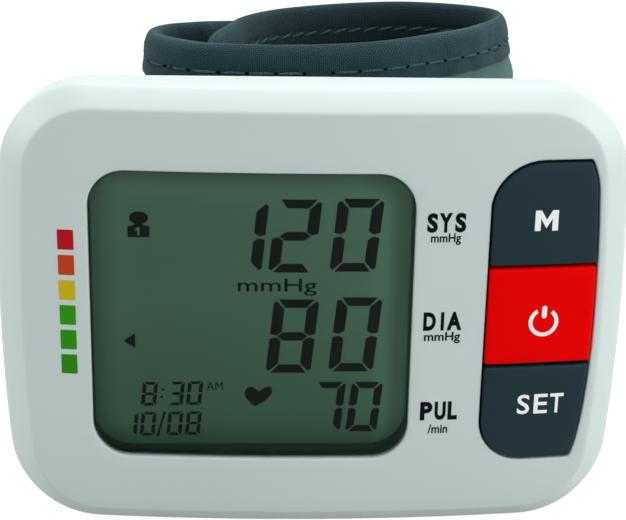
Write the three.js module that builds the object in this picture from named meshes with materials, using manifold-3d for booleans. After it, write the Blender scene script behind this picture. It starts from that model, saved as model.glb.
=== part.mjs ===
// Wrist blood pressure monitor: a two-part case with a display, three keys, a battery bay,
// an air pump and its valve, and a padded wrist cuff that opens at two folds.
//
// Millimetres. X is to the right, Y to the back and Z up. The pieces are laid out with the
// crown of the face at y = 0 and the base at z = 0. The finished model is then moved so that
// its origin is the middle of its base.

import * as THREE from 'three';
import { mergeVertices } from 'three/addons/utils/BufferGeometryUtils.js';
import Module from 'manifold-3d';

const wasm = await Module();
wasm.setup();

// Case
const bodyWidth = 84;
const bodyHeight = 61;
const bodyDepth = 25.6; // at the bottom of the saddle behind the case
const cornerRadius = 12;
const sideBowRadius = 256; // the left and right sides bow outwards
const crownRadius = 270; // the face is a shallow arch from left to right
const saddleRadius = 170; // the back is hollowed for the wrist
const coverWall = 1.6;
const partingDepth = 10.4; // where the front cover meets the rear cover
const chamferSide = 3.4;
const chamferEnd = 2.6;
const chamferDepth = 3;
const rearStep = 0.4; // the rear cover is this much smaller all round
const rearTaperSide = 3.6;
const rearTaperEnd = 6.6;
const rearEdge = 1.2;
const lipWidth = 1;
const lipLength = 1.5;

// Clearances
const fitGap = 0.3;
const seatGap = 0.2;
const overrun = 5; // how far a cutter runs past what it cuts

// Display
const windowSideMargin = 12.45; // from the left side of the case
const windowEndMargin = 10.75; // from the top and the bottom of the case
const windowRise = 0.4; // the window's middle above the middle of the face
const windowRadius = 4;
const windowDrop = 0.4; // the clear panel lies this far below the face
const windowFlange = 0.9;
const windowPlate = 0.8;
const glassThickness = 1.1; // of each of the display's two sheets
const glassLap = 0.6;
const glassLedge = 2.6;
const frameWall = 0.9;
const frameShelf = 0.28; // least thickness of the frame in front of the glass
const connectorLength = 1;
const connectorWidth = 1.8;
const connectorInset = 2;

// Keys
const keyWindowGap = 9.7; // between the window and the column of keys
const keyColumnWidth = 14.8;
const keyColumnInset = 4.75; // from the bowed side of the case
const keyEndMargin = 9.35; // from the top and the bottom of the case
const keyColumnRise = 0.55; // the column's middle above the middle of the face
const keyLeftRadius = 6;
const keyRightRadius = 2.6;
const keySplit = 0.45; // between neighbouring keys
const powerKeyHeight = 13.4;
const powerKeyRise = 0.35;
const keyProud = 0.3;
const keyTravel = 0.5;
const keyFlange = 0.8;
const keyFlangePlate = 0.8;
const keyStemRadius = 1.6;
const switchSize = 6;
const switchHeight = 2;
const switchStemRadius = 1.5;
const switchStemLength = 1.4;

// Circuit board
const boardThickness = 1.2;
const boardLeftMargin = 11; // from the left side of the case
const boardRightMargin = 6.5;
const boardEndMargin = 9.6; // from the top and the bottom of the case
const boardScrewGap = 5.45; // from the window to the middle of each board screw
const boardScrewInset = 13; // from the top and the bottom of the case
const postRadius = 2;
const pilotRadius = 1.1;
const chipSize = 8;
const chipHeight = 1;
const chipInset = 24; // from the board's left edge
const chipRise = 7.4; // from the board's lower edge
const sensorSize = 6;
const sensorHeight = 2.6;
const buzzerRadius = 4.5;
const buzzerHeight = 3.6;
const buzzerHole = 0.9;
const buzzerInset = 9.5; // from the board's right and upper edges

// Screws
const screwBayGap = 2.45; // from the battery bay to the middle of the left screws
const screwSideInset = 11; // from the right side of the case
const screwInset = 5.5; // from the top and the bottom of the case
const bossRadius = 2;
const bossDepth = 12;
const screwSeatDepth = 15; // floor of the hole that the screw head sits in
const screwHeadRadius = 2;
const screwHeadHeight = 1.4;
const screwShankRadius = 0.8;
const screwLength = 8;
const screwSlotWidth = 0.5;
const screwSlotDepth = 0.7;
const rearPostRadius = 3;
const boardScrewLength = 5;

// Batteries
const batteryRadius = 5.25;
const batteryEndRoom = 8.25; // from each end of a cell to the top or the bottom of the case
const batteryNubRadius = 1.9;
const batteryNubHeight = 1;
const batteryPitch = 10.8;
const batterySideRoom = 12.8; // from the left side of the case to the middle of the outer cell
const batteryDepth = 16.6;
const contactReach = 1.6;
const contactPlate = 0.4;
const contactWidth = 5;
const contactLength = 7;
const springWire = 0.2; // radius
const springWide = 2.3;
const springNarrow = 1;
const bayWall = 1.4;
const bayFront = 11.2;

// Battery door
const doorWidth = 5.8; // from the side of the case
const doorMargin = 8.5; // from the top and the bottom of the case
const doorFrontGap = 0.6;
const doorTongueLength = 7;
const doorTongueWidth = 4;
const doorTongueThickness = 1.4;
const doorTongueInset = 5;
const doorGuide = 1;
const doorRibCount = 3;
const doorRibWidth = 1;
const doorRibHeight = 0.4;
const doorRibLength = 16;
const doorRibPitch = 3;

// Pump, valve and air line
const pumpRadius = 5.2;
const pumpRoom = 9; // from the middle of the cuff's tube to the middle of the pump
const pumpBase = 12;
const pumpHeadLength = 11.7;
const pumpTubeLength = 6.6; // from the pump's head to the manifold
const pumpHeadBore = 3.8;
const pumpHeadBoreDepth = 7.6;
const motorBore = 1.2;
const motorBoreDepth = 4;
const shaftRadius = 0.8;
const shaftLength = 9;
const crankRadius = 2.2;
const crankHeight = 2;
const crankOffset = 0.8;
const cradleRib = 1.4;
const cradleSide = 1.6;
const cradleDepth = 16.8;
const nozzleRadius = 0.9;
const nozzleLength = 3.2;
const tubeBore = 1.3;
const tubeOuter = 1.9;
const valveRadius = 4.2;
const valveSideRoom = 10; // from the right side of the case
const valveBase = 18;
const valveLength = 12;
const valveBore = 2.3;
const valveBoreDepth = 8;
const plungerRadius = 1.9;
const plungerHeadRadius = 3.4;
const plungerHeadHeight = 1.2;
const plungerLength = 9.4;
const plungerGap = 3.6; // between the plunger's head and the valve
const valveSpringRadius = 2.8;
const manifoldEnd = 1.3; // from the manifold's ends to its outer ports
const manifoldSize = 4.8;
const manifoldDrop = 11; // from the top of the case
const portPitch = 7.6;
const sensorStep = 3.2; // the sensor's middle to the right of its port
const sensorDrop = 17; // from the manifold

// Cuff
const cuffRoom = 5.45; // from the battery bay's wall to the middle of the cuff plate
const cuffHeight = 61.5;
const cuffStandoff = 0.545; // from the cuff plate to the cuff's front
const loopReach = 18; // from the middle of the cuff plate to the loop's left side
const loopWidth = 56;
const loopDepth = 42.5;
const sleeveThickness = 4;
const bandThickness = 3;
const flapThickness = 2.6;
const sleeveFabric = 0.6;
const bindingBulge = 0.3;
const bindingDepth = 4.5;
const foldGap = 0.4;
const bladderThickness = 1;
const bladderInset = 6;
const curlThickness = 0.5;
const curlInset = 5;
const patchThickness = 0.5;
const patchInset = 7;
const flapDrop = 2.4; // the flap's free end is this much lower at its top edge
const rightFlare = 3; // the right side of the loop widens towards the base

// Cuff plate and nipple
const plateWidth = 20;
const plateHeight = 36;
const plateThickness = 1.3;
const hookWidth = 5;
const hookThickness = 1.2;
const hookBarb = 0.8;
const hookInset = 4;
const hookReach = 3;
const nippleRadius = 1.2;
const nippleFlangeRadius = 4;
const nippleFlange = 0.6;
const nippleReach = 4.8; // how far it stands into the case
const passageGap = 0.8;

// Facets
const sideSteps = 3;
const cornerSteps = 5;
const faceSteps = 4;
const roundSides = 20;
const smallSides = 10;
const crownSteps = 12;
const tubeSides = 6;
const tubeSteps = 13;
const straightSteps = 1;
const wireSides = 4;
const turnSteps = 7;
const frontSteps = 20;
const bandSteps = 32;
const flapSteps = 24;
const patchSteps = 12;

const midHeight = bodyHeight / 2;
const halfBody = bodyWidth / 2;
const wallBack = coverWall + fitGap; // from the face to just behind the front wall

// The window fills the face between its own margin and the keys.
const keyColumnRight = halfBody - keyColumnInset;
const keyColumnLeft = keyColumnRight - keyColumnWidth;
const keyColumnHeight = bodyHeight - 2 * keyEndMargin;
const keyMiddle = midHeight + keyColumnRise;
const powerKeyZ = midHeight + powerKeyRise;
const windowRight = keyColumnLeft - keyWindowGap;
const windowLeft = windowSideMargin - halfBody;
const windowWidth = windowRight - windowLeft;
const windowHeight = bodyHeight - 2 * windowEndMargin;
const windowX = (windowLeft + windowRight) / 2;
const windowZ = midHeight + windowRise;
const glassWidth = windowWidth + 2 * glassLap;
const glassHeight = windowHeight + 2 * glassLap;
const glassBase = windowZ - glassHeight / 2;
const glassEdge = Math.max(windowRight, -windowLeft) + glassLap + fitGap;
const frameFront = wallBack + windowPlate + fitGap;
const glassDepth = crownAt(glassEdge) + frameFront + frameShelf + seatGap;

const boardFront = glassDepth + 2 * glassThickness + connectorLength;
const boardBack = boardFront + boardThickness;
const boardLeft = boardLeftMargin - halfBody;
const boardRight = halfBody - boardRightMargin;
const boardTop = bodyHeight - boardEndMargin;

// From left to right behind the board: the battery bay, the cuff's tube, the pump and the valve.
const outerCellX = batterySideRoom - halfBody;
const batteryX = outerCellX + batteryPitch;
const batteryLength = bodyHeight - 2 * batteryEndRoom;
const bayRight = batteryX + batteryRadius + fitGap;
const bayLeft = outerCellX - batteryRadius;
const doorEdge = halfBody - doorWidth;
const cuffX = bayRight + bayWall + cuffRoom;
const pumpX = cuffX + pumpRoom;
const valveX = halfBody - valveSideRoom;
const manifoldHeight = bodyHeight - manifoldDrop;
const manifoldBase = manifoldHeight - manifoldSize / 2;
const manifoldLeft = pumpX - manifoldEnd;
const sensorPortX = pumpX + portPitch;
const manifoldRight = sensorPortX + manifoldEnd;
const sensorX = sensorPortX + sensorStep;
const sensorZ = manifoldHeight - sensorDrop;
const headTop = manifoldBase - pumpTubeLength;
const headBase = headTop - pumpHeadLength;
const motorTop = headBase - fitGap;
const loopLeft = cuffX - loopReach;

// Depth of the arched face at x.
function crownAt(x) {
  return crownRadius - Math.sqrt(crownRadius ** 2 - x ** 2);
}

// Depth of the hollowed back at x.
function saddleAt(x) {
  return bodyDepth + saddleRadius - Math.sqrt(saddleRadius ** 2 - x ** 2);
}

// A closed solid for joining and cutting, from any closed geometry.
function solid(geometry) {
  const bare = geometry.clone();
  bare.deleteAttribute('normal');
  bare.deleteAttribute('uv');
  const merged = mergeVertices(bare);
  const vertProperties = new Float32Array(merged.attributes.position.array);
  const triVerts = new Uint32Array(merged.index.array);
  return new wasm.Manifold(new wasm.Mesh({ numProp: 3, vertProperties, triVerts }));
}

function join(first, ...others) {
  return others.reduce((whole, other) => whole.add(other), first);
}

function cut(first, ...others) {
  return others.reduce((whole, other) => whole.subtract(other), first);
}

function overlap(first, ...others) {
  return others.reduce((whole, other) => whole.intersect(other), first);
}

// The geometry that a mesh shows, from a joined or cut solid.
function geometryOf(body) {
  const { vertProperties, triVerts } = body.getMesh();
  const geometry = new THREE.BufferGeometry();
  geometry.setAttribute('position', new THREE.BufferAttribute(vertProperties, 3));
  geometry.setIndex(new THREE.BufferAttribute(triVerts, 1));
  geometry.computeVertexNormals();
  return geometry;
}

// A skin over closed rings of equally many points, with its two ends closed by strips that
// join point i to the point opposite it. The faces are turned to point outwards.
function loft(rings) {
  const count = rings[0].length;
  const triangles = [];
  rings.slice(1).forEach((ring, level) => {
    const near = level * count;
    const far = near + count;
    ring.forEach((point, i) => {
      const next = (i + 1) % count;
      triangles.push([near + i, far + i, near + next], [near + next, far + i, far + next]);
    });
  });
  const last = (rings.length - 1) * count;
  for (let i = 0; i < count / 2; i++) {
    const opposite = (count - i) % count;
    const before = count - i - 1;
    if (i + 1 !== before) {
      triangles.push([i, i + 1, before], [last + i, last + before, last + i + 1]);
    }
    if (opposite !== i) {
      triangles.push([i, before, opposite], [last + i, last + opposite, last + before]);
    }
  }
  const points = rings.flat();
  const volume = triangles.reduce((sum, [a, b, c]) => {
    const normal = new THREE.Vector3().crossVectors(points[b], points[c]);
    return sum + points[a].dot(normal);
  }, 0);
  const outward = triangles.map(([a, b, c]) => (volume < 0 ? [a, c, b] : [a, b, c]));
  const geometry = new THREE.BufferGeometry().setFromPoints(points);
  geometry.setIndex(outward.flat());
  return geometry;
}

// The case's outline as a loop of [x, z] about its middle, drawn in by the given insets.
function caseOutline(insetSide, insetEnd) {
  const halfWidth = halfBody - insetSide;
  const halfHeight = midHeight - insetEnd;
  const radius = cornerRadius - (insetSide + insetEnd) / 2;
  const bow = sideBowRadius - insetSide;
  const turn = Math.asin((halfHeight - radius) / (bow - radius));
  const bowX = halfWidth - bow;
  const cornerX = bowX + (bow - radius) * Math.cos(turn);
  const quarter = [];
  for (let i = 0; i < sideSteps; i++) {
    const angle = (turn * i) / sideSteps;
    quarter.push([bowX + bow * Math.cos(angle), bow * Math.sin(angle)]);
  }
  for (let i = 0; i <= cornerSteps; i++) {
    const angle = turn + ((Math.PI / 2 - turn) * i) / cornerSteps;
    const height = halfHeight - radius + radius * Math.sin(angle);
    quarter.push([cornerX + radius * Math.cos(angle), height]);
  }
  for (let i = 1; i <= faceSteps; i++) {
    quarter.push([cornerX * (1 - i / faceSteps), halfHeight]);
  }
  const mirrored = quarter.slice(0, -1).reverse().map(([x, z]) => [-x, z]);
  const upper = [...quarter, ...mirrored];
  const lower = upper.slice(1, -1).reverse().map(([x, z]) => [x, -z]);
  return [...upper, ...lower];
}

// One ring of the case, at the depth that depthAt gives for each x.
function caseRing(insetSide, insetEnd, depthAt) {
  return caseOutline(insetSide, insetEnd).map(
    ([x, z]) => new THREE.Vector3(x, depthAt(x), midHeight + z),
  );
}

// A flat shape in X and Z, drawn out from one depth to another.
function slice(shape, front, back) {
  const geometry = new THREE.ExtrudeGeometry(shape, {
    depth: back - front,
    bevelEnabled: false,
    curveSegments: smallSides / 2,
  });
  geometry.rotateX(Math.PI / 2);
  geometry.translate(0, back, 0);
  return solid(geometry);
}

// A flat shape in X and Y, drawn out from one height to another.
function column(shape, base, top) {
  const geometry = new THREE.ExtrudeGeometry(shape, { depth: top - base, bevelEnabled: false });
  geometry.translate(0, 0, base);
  return solid(geometry);
}

function block(left, right, front, back, base, top) {
  const geometry = new THREE.BoxGeometry(right - left, back - front, top - base);
  geometry.translate((left + right) / 2, (front + back) / 2, (base + top) / 2);
  return solid(geometry);
}

function barAlongY(x, z, radius, front, back, sides = smallSides) {
  const geometry = new THREE.CylinderGeometry(radius, radius, back - front, sides);
  geometry.translate(x, (front + back) / 2, z);
  return solid(geometry);
}

function barAlongZ(x, y, radius, base, top, sides = smallSides) {
  const geometry = new THREE.CylinderGeometry(radius, radius, top - base, sides);
  geometry.rotateX(Math.PI / 2);
  geometry.translate(x, y, (base + top) / 2);
  return solid(geometry);
}

function barAlongX(y, z, radius, left, right, sides = smallSides) {
  const geometry = new THREE.CylinderGeometry(radius, radius, right - left, sides);
  geometry.rotateZ(Math.PI / 2);
  geometry.translate((left + right) / 2, y, z);
  return solid(geometry);
}

function roundedRectangle(x, z, width, height, radius) {
  const shape = new THREE.Shape();
  const left = x - width / 2;
  const base = z - height / 2;
  shape.moveTo(left + radius, base);
  shape.absarc(left + width - radius, base + radius, radius, -Math.PI / 2, 0);
  shape.absarc(left + width - radius, base + height - radius, radius, 0, Math.PI / 2);
  shape.absarc(left + radius, base + height - radius, radius, Math.PI / 2, Math.PI);
  shape.absarc(left + radius, base + radius, radius, Math.PI, 1.5 * Math.PI);
  return shape;
}

// A sheet that follows the arched face, between two depths below it.
function archedSheet(near, far) {
  const shape = new THREE.Shape();
  const places = Array.from({ length: crownSteps + 1 }, (_, i) => {
    return halfBody * ((2 * i) / crownSteps - 1);
  });
  shape.moveTo(-halfBody, crownAt(halfBody) + near);
  places.slice(1).forEach((x) => shape.lineTo(x, crownAt(x) + near));
  places.reverse().forEach((x) => shape.lineTo(x, crownAt(x) + far));
  shape.closePath();
  return column(shape, -overrun, bodyHeight + overrun);
}

function casting(colour, roughness, metalness = 0) {
  return new THREE.MeshStandardMaterial({ color: colour, roughness, metalness });
}

const shellWhite = casting(0xdde5e2, 0.38);
const keyBlue = casting(0x24383d, 0.42);
const keyRed = casting(0xdc0500, 0.4);
const clearPanel = casting(0x9fb0a8, 0.05);
const displayGreen = casting(0x3d5a4e, 0.25);
const darkPlastic = casting(0x1a2220, 0.6);
const rubberGrey = casting(0x3a3f42, 0.8);
const boardGreen = casting(0x1c5a38, 0.5);
const chipBlack = casting(0x16181a, 0.5);
const steel = casting(0xb8bcc0, 0.3, 1);
const spring = casting(0xc8ccd0, 0.25, 1);
const cellCopper = casting(0x2f6fb0, 0.35);
const tubeClear = casting(0xcdd4cf, 0.35);
const sleeveFabricColour = casting(0x33484f, 0.95);
const linerFabric = casting(0x1c2a31, 0.95);
const hookFabric = casting(0x202a2e, 1);
const bladderRubber = casting(0x7a8784, 0.7);
const curlPlastic = casting(0xd8d8d0, 0.4);

const model = new THREE.Group();

function piece(name, body, material) {
  const geometry = body instanceof THREE.BufferGeometry ? body : geometryOf(body);
  const mesh = new THREE.Mesh(geometry, material.clone());
  mesh.name = name;
  model.add(mesh);
}

// Places of the four case screws, and of the two board screws.
const caseScrews = [];
const screwLeftX = bayRight + screwBayGap;
const screwRightX = halfBody - screwSideInset;
for (const [side, x] of [['left', screwLeftX], ['right', screwRightX]]) {
  caseScrews.push({ name: `${side}_lower`, x, z: screwInset });
  caseScrews.push({ name: `${side}_upper`, x, z: bodyHeight - screwInset });
}
const boardScrewX = windowRight + boardScrewGap;
const boardScrews = [
  { name: 'lower', x: boardScrewX, z: boardScrewInset },
  { name: 'upper', x: boardScrewX, z: bodyHeight - boardScrewInset },
];

// Front cover and keys

// The outline of the column of keys, grown all round by grow.
function keyColumn(grow) {
  const left = keyColumnLeft - grow;
  const base = keyMiddle - keyColumnHeight / 2 - grow;
  const top = keyMiddle + keyColumnHeight / 2 + grow;
  const bow = sideBowRadius - keyColumnInset + grow;
  const sideAt = (z) => halfBody - sideBowRadius + Math.sqrt(bow ** 2 - (z - midHeight) ** 2);
  const shape = new THREE.Shape();
  const low = base + keyRightRadius;
  const high = top - keyRightRadius;
  shape.moveTo(left + keyLeftRadius, base);
  shape.lineTo(sideAt(base) - keyRightRadius, base);
  shape.quadraticCurveTo(sideAt(base), base, sideAt(low), low);
  for (let i = 1; i < sideSteps; i++) {
    const z = low + ((high - low) * i) / sideSteps;
    shape.lineTo(sideAt(z), z);
  }
  shape.lineTo(sideAt(high), high);
  shape.quadraticCurveTo(sideAt(top), top, sideAt(top) - keyRightRadius, top);
  shape.lineTo(left + keyLeftRadius, top);
  shape.absarc(left + keyLeftRadius, top - keyLeftRadius, keyLeftRadius, Math.PI / 2, Math.PI);
  shape.absarc(left + keyLeftRadius, base + keyLeftRadius, keyLeftRadius, Math.PI, 1.5 * Math.PI);
  return shape;
}

function frontCover() {
  const rearFace = () => partingDepth;
  const outer = loft([
    caseRing(chamferSide, chamferEnd, crownAt),
    caseRing(0, 0, (x) => crownAt(x) + chamferDepth),
    caseRing(0, 0, rearFace),
  ]);
  const slope = coverWall / 2;
  const hollow = loft([
    caseRing(chamferSide + slope, chamferEnd + slope, (x) => crownAt(x) + coverWall),
    caseRing(coverWall, coverWall, (x) => crownAt(x) + chamferDepth + slope),
    caseRing(coverWall, coverWall, () => partingDepth + overrun),
  ]);
  const windowShape = roundedRectangle(windowX, windowZ, windowWidth, windowHeight, windowRadius);
  const shell = cut(
    solid(outer),
    solid(hollow),
    slice(windowShape, -overrun, partingDepth),
    slice(keyColumn(fitGap), -overrun, partingDepth),
  );
  const bosses = caseScrews.map(({ x, z }) =>
    cut(
      barAlongY(x, z, bossRadius, crownAt(x) + coverWall / 2, bossDepth),
      barAlongY(x, z, pilotRadius, crownAt(x) + coverWall, bossDepth + overrun),
    ),
  );
  const posts = boardScrews.map(({ x, z }) =>
    cut(
      barAlongY(x, z, postRadius, crownAt(x) + coverWall / 2, boardFront - seatGap),
      barAlongY(x, z, pilotRadius, crownAt(x) + coverWall, boardFront + overrun),
    ),
  );
  return join(shell, ...bosses, ...posts);
}

const columnBase = keyMiddle - keyColumnHeight / 2;
const columnTop = keyMiddle + keyColumnHeight / 2;
const powerBase = powerKeyZ - powerKeyHeight / 2;
const powerTop = powerKeyZ + powerKeyHeight / 2;
const keys = [
  { name: 'memory', base: powerTop + keySplit, top: columnTop, colour: keyBlue },
  { name: 'power', base: powerBase, top: powerTop, colour: keyRed },
  { name: 'set', base: columnBase, top: powerBase - keySplit, colour: keyBlue },
];
const keyX = (keyColumnLeft + keyColumnRight) / 2;
const keyBack = wallBack + keyFlangePlate;
const switchFront = boardFront - seatGap - switchHeight;
const switchStemFront = switchFront - switchStemLength / 2;

// A key cap, the flange that keeps it behind the front wall, and the stem to its switch.
function key({ base, top }) {
  const middle = (base + top) / 2;
  const reach = base === columnBase ? base - keyFlange : base;
  const rise = top === columnTop ? top + keyFlange : top;
  const cell = block(0, bodyWidth, -overrun, partingDepth, reach, rise);
  const cap = overlap(
    slice(keyColumn(0), -overrun, partingDepth),
    archedSheet(-keyProud, keyBack),
    cell,
  );
  const flange = overlap(
    slice(keyColumn(keyFlange), -overrun, partingDepth),
    archedSheet(wallBack, keyBack),
    cell,
  );
  const stemFront = crownAt(keyX) + wallBack;
  const stem = barAlongY(keyX, middle, keyStemRadius, stemFront, switchStemFront - fitGap);
  return join(cap, flange, stem);
}

function tactSwitch({ base, top }) {
  const middle = (base + top) / 2;
  const half = switchSize / 2;
  const back = boardFront - seatGap;
  const floor = switchStemFront + switchStemLength + keyTravel + seatGap;
  return cut(
    block(keyX - half, keyX + half, switchFront, back, middle - half, middle + half),
    barAlongY(keyX, middle, switchStemRadius + fitGap, switchFront - overrun, floor),
  );
}

function switchStem({ base, top }) {
  const front = switchStemFront;
  return barAlongY(keyX, (base + top) / 2, switchStemRadius, front, front + switchStemLength);
}

piece('front_cover', frontCover(), shellWhite);
for (const one of keys) {
  piece(`${one.name}_key`, key(one), one.colour);
  piece(`${one.name}_switch`, tactSwitch(one), chipBlack);
  piece(`${one.name}_switch_stem`, switchStem(one), darkPlastic);
}

// Display

function displayWindow() {
  const rise = windowRadius - fitGap;
  const width = windowWidth - 2 * fitGap;
  const height = windowHeight - 2 * fitGap;
  const plateBack = wallBack + windowPlate;
  const face = slice(roundedRectangle(windowX, windowZ, width, height, rise), 0, partingDepth);
  const wide = windowWidth + 2 * windowFlange;
  const tall = windowHeight + 2 * windowFlange;
  const round = windowRadius + windowFlange;
  const rim = slice(roundedRectangle(windowX, windowZ, wide, tall, round), 0, partingDepth);
  return join(
    overlap(face, archedSheet(windowDrop, plateBack)),
    overlap(rim, archedSheet(wallBack, plateBack)),
  );
}

// The dark frame that carries the glass and lines the view through the window.
function displayFrame() {
  const pocket = 2 * fitGap;
  const around = pocket + 2 * frameWall;
  const outer = roundedRectangle(
    windowX,
    windowZ,
    glassWidth + around,
    glassHeight + around,
    windowRadius,
  );
  const view = roundedRectangle(windowX, windowZ, windowWidth, windowHeight, windowRadius);
  const left = windowX - (glassWidth + pocket) / 2;
  const base = windowZ - (glassHeight + pocket) / 2;
  return cut(
    overlap(slice(outer, 0, boardFront - seatGap), archedSheet(frameFront, partingDepth)),
    slice(view, -overrun, partingDepth),
    block(
      left,
      left + glassWidth + pocket,
      glassDepth - seatGap,
      partingDepth,
      base,
      base + glassHeight + pocket,
    ),
  );
}

function displayGlass() {
  const left = windowX - glassWidth / 2;
  const right = windowX + glassWidth / 2;
  const top = glassBase + glassHeight;
  const middle = glassDepth + glassThickness;
  const back = middle + glassThickness;
  return join(
    block(left, right, glassDepth, middle, glassBase, top),
    block(left, right, middle - seatGap, back, glassBase + glassLedge, top),
  );
}

function displayConnector() {
  const half = glassWidth / 2 - connectorInset;
  const base = glassBase + fitGap;
  const front = glassDepth + glassThickness + seatGap;
  const back = boardFront - seatGap;
  return block(windowX - half, windowX + half, front, back, base, base + connectorWidth);
}

piece('display_window', displayWindow(), clearPanel);
piece('display_frame', displayFrame(), darkPlastic);
piece('display_glass', displayGlass(), displayGreen);
piece('display_connector', displayConnector(), rubberGrey);

// Circuit board and what stands on it

function mainBoard() {
  const sheet = block(boardLeft, boardRight, boardFront, boardBack, boardEndMargin, boardTop);
  const holes = boardScrews.map(({ x, z }) => barAlongY(x, z, pilotRadius, 0, bodyDepth));
  return cut(sheet, ...holes);
}

function boardBlock(x, z, size, height) {
  const front = boardBack + seatGap;
  const half = size / 2;
  return block(x - half, x + half, front, front + height, z - half, z + half);
}

function pressureSensor() {
  const nozzleBase = boardBack + seatGap + sensorHeight;
  return join(
    boardBlock(sensorX, sensorZ, sensorSize, sensorHeight),
    barAlongY(sensorX, sensorZ, nozzleRadius, nozzleBase - seatGap, nozzleBase + nozzleLength),
  );
}

function buzzer() {
  const front = boardBack + seatGap;
  const back = front + buzzerHeight;
  const x = boardRight - buzzerInset;
  const z = boardTop - buzzerInset;
  return cut(
    barAlongY(x, z, buzzerRadius, front, back, roundSides),
    barAlongY(x, z, buzzerHole, back - buzzerHeight / 2, back + overrun),
  );
}

piece('main_board', mainBoard(), boardGreen);
piece(
  'control_chip',
  boardBlock(boardLeft + chipInset, boardEndMargin + chipRise, chipSize, chipHeight),
  chipBlack,
);
piece('pressure_sensor', pressureSensor(), chipBlack);
piece('buzzer', buzzer(), chipBlack);

// Screws, heads to the back, each with a cross recess

function screw(x, z, seat, length) {
  const head = barAlongY(x, z, screwHeadRadius, seat, seat + screwHeadHeight, smallSides);
  const shank = barAlongY(x, z, screwShankRadius, seat - length, seat + screwHeadHeight / 2);
  const half = screwSlotWidth / 2;
  const floor = seat + screwHeadHeight - screwSlotDepth;
  const reach = screwHeadRadius / 2 + half;
  const back = seat + overrun;
  return cut(
    join(head, shank),
    block(x - reach, x + reach, floor, back, z - half, z + half),
    block(x - half, x + half, floor, back, z - reach, z + reach),
  );
}

for (const { name, x, z } of caseScrews) {
  piece(`case_screw_${name}`, screw(x, z, screwSeatDepth + seatGap, screwLength), steel);
}
for (const { name, x, z } of boardScrews) {
  piece(`board_screw_${name}`, screw(x, z, boardBack + seatGap, boardScrewLength), steel);
}

// Rear cover and battery door

const deepest = saddleAt(halfBody) + overrun;
const batteryBase = batteryEndRoom;
const batteryTop = batteryBase + batteryLength;
const contactBase = batteryBase - contactReach - contactPlate;
const contactTop = batteryTop + contactReach;

// The tapering form of the rear of the case, drawn in by inset.
function rearForm(inset) {
  const back = (x) => saddleAt(x) - inset;
  const step = rearStep + inset;
  const side = rearTaperSide + inset;
  const end = rearTaperEnd + inset;
  const rings = [
    caseRing(step, step, () => partingDepth - overrun),
    caseRing(step, step, () => partingDepth),
    caseRing(side, end, (x) => back(x) - rearEdge),
    caseRing(side + rearEdge, end + rearEdge, back),
  ];
  return solid(loft(rings));
}

const behindParting = block(
  -bodyWidth,
  bodyWidth,
  partingDepth,
  deepest,
  -overrun,
  bodyHeight + overrun,
);
const rearOuter = overlap(rearForm(0), behindParting);
const rearHollow = rearForm(coverWall);

// The lip that centres the rear cover in the front cover.
function centringLip() {
  const near = () => partingDepth - lipLength;
  const far = () => partingDepth + lipLength;
  const inset = coverWall + fitGap;
  const past = inset + lipWidth;
  const outer = loft([caseRing(inset, inset, near), caseRing(inset, inset, far)]);
  const inner = loft([
    caseRing(past, past, () => partingDepth - overrun),
    caseRing(past, past, () => partingDepth + overrun),
  ]);
  return cut(solid(outer), solid(inner));
}

// Ribs that carry a round body that stands upright, and the round place in them for it.
function cradleRibs(x, radius, heights) {
  const side = radius + cradleSide;
  return heights.map((base) =>
    block(x - side, x + side, cradleDepth, deepest, base, base + cradleRib),
  );
}

function cradlePlace(x, radius) {
  return barAlongZ(x, batteryDepth, radius + fitGap, pumpBase, headTop, roundSides);
}

// A slot beside the door's tongue at height z, on the side that side gives.
function tongueGuide(z, side) {
  const start = z + side * (doorTongueWidth / 2 + fitGap);
  const end = start + side * doorGuide;
  const right = -doorEdge + doorTongueLength;
  const front = tongueBack - doorTongueThickness;
  const [base, top] = [Math.min(start, end), Math.max(start, end)];
  return block(-doorEdge + 2 * fitGap, right, front, deepest, base, top);
}

const tongueBack = saddleAt(doorEdge - doorTongueLength) - coverWall - rearEdge - fitGap;
const tongueHeights = [
  doorMargin + doorTongueInset,
  bodyHeight - doorMargin - doorTongueInset,
];
const hookHeights = [
  midHeight - plateHeight / 2 + hookInset,
  midHeight + plateHeight / 2 - hookInset,
];

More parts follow.
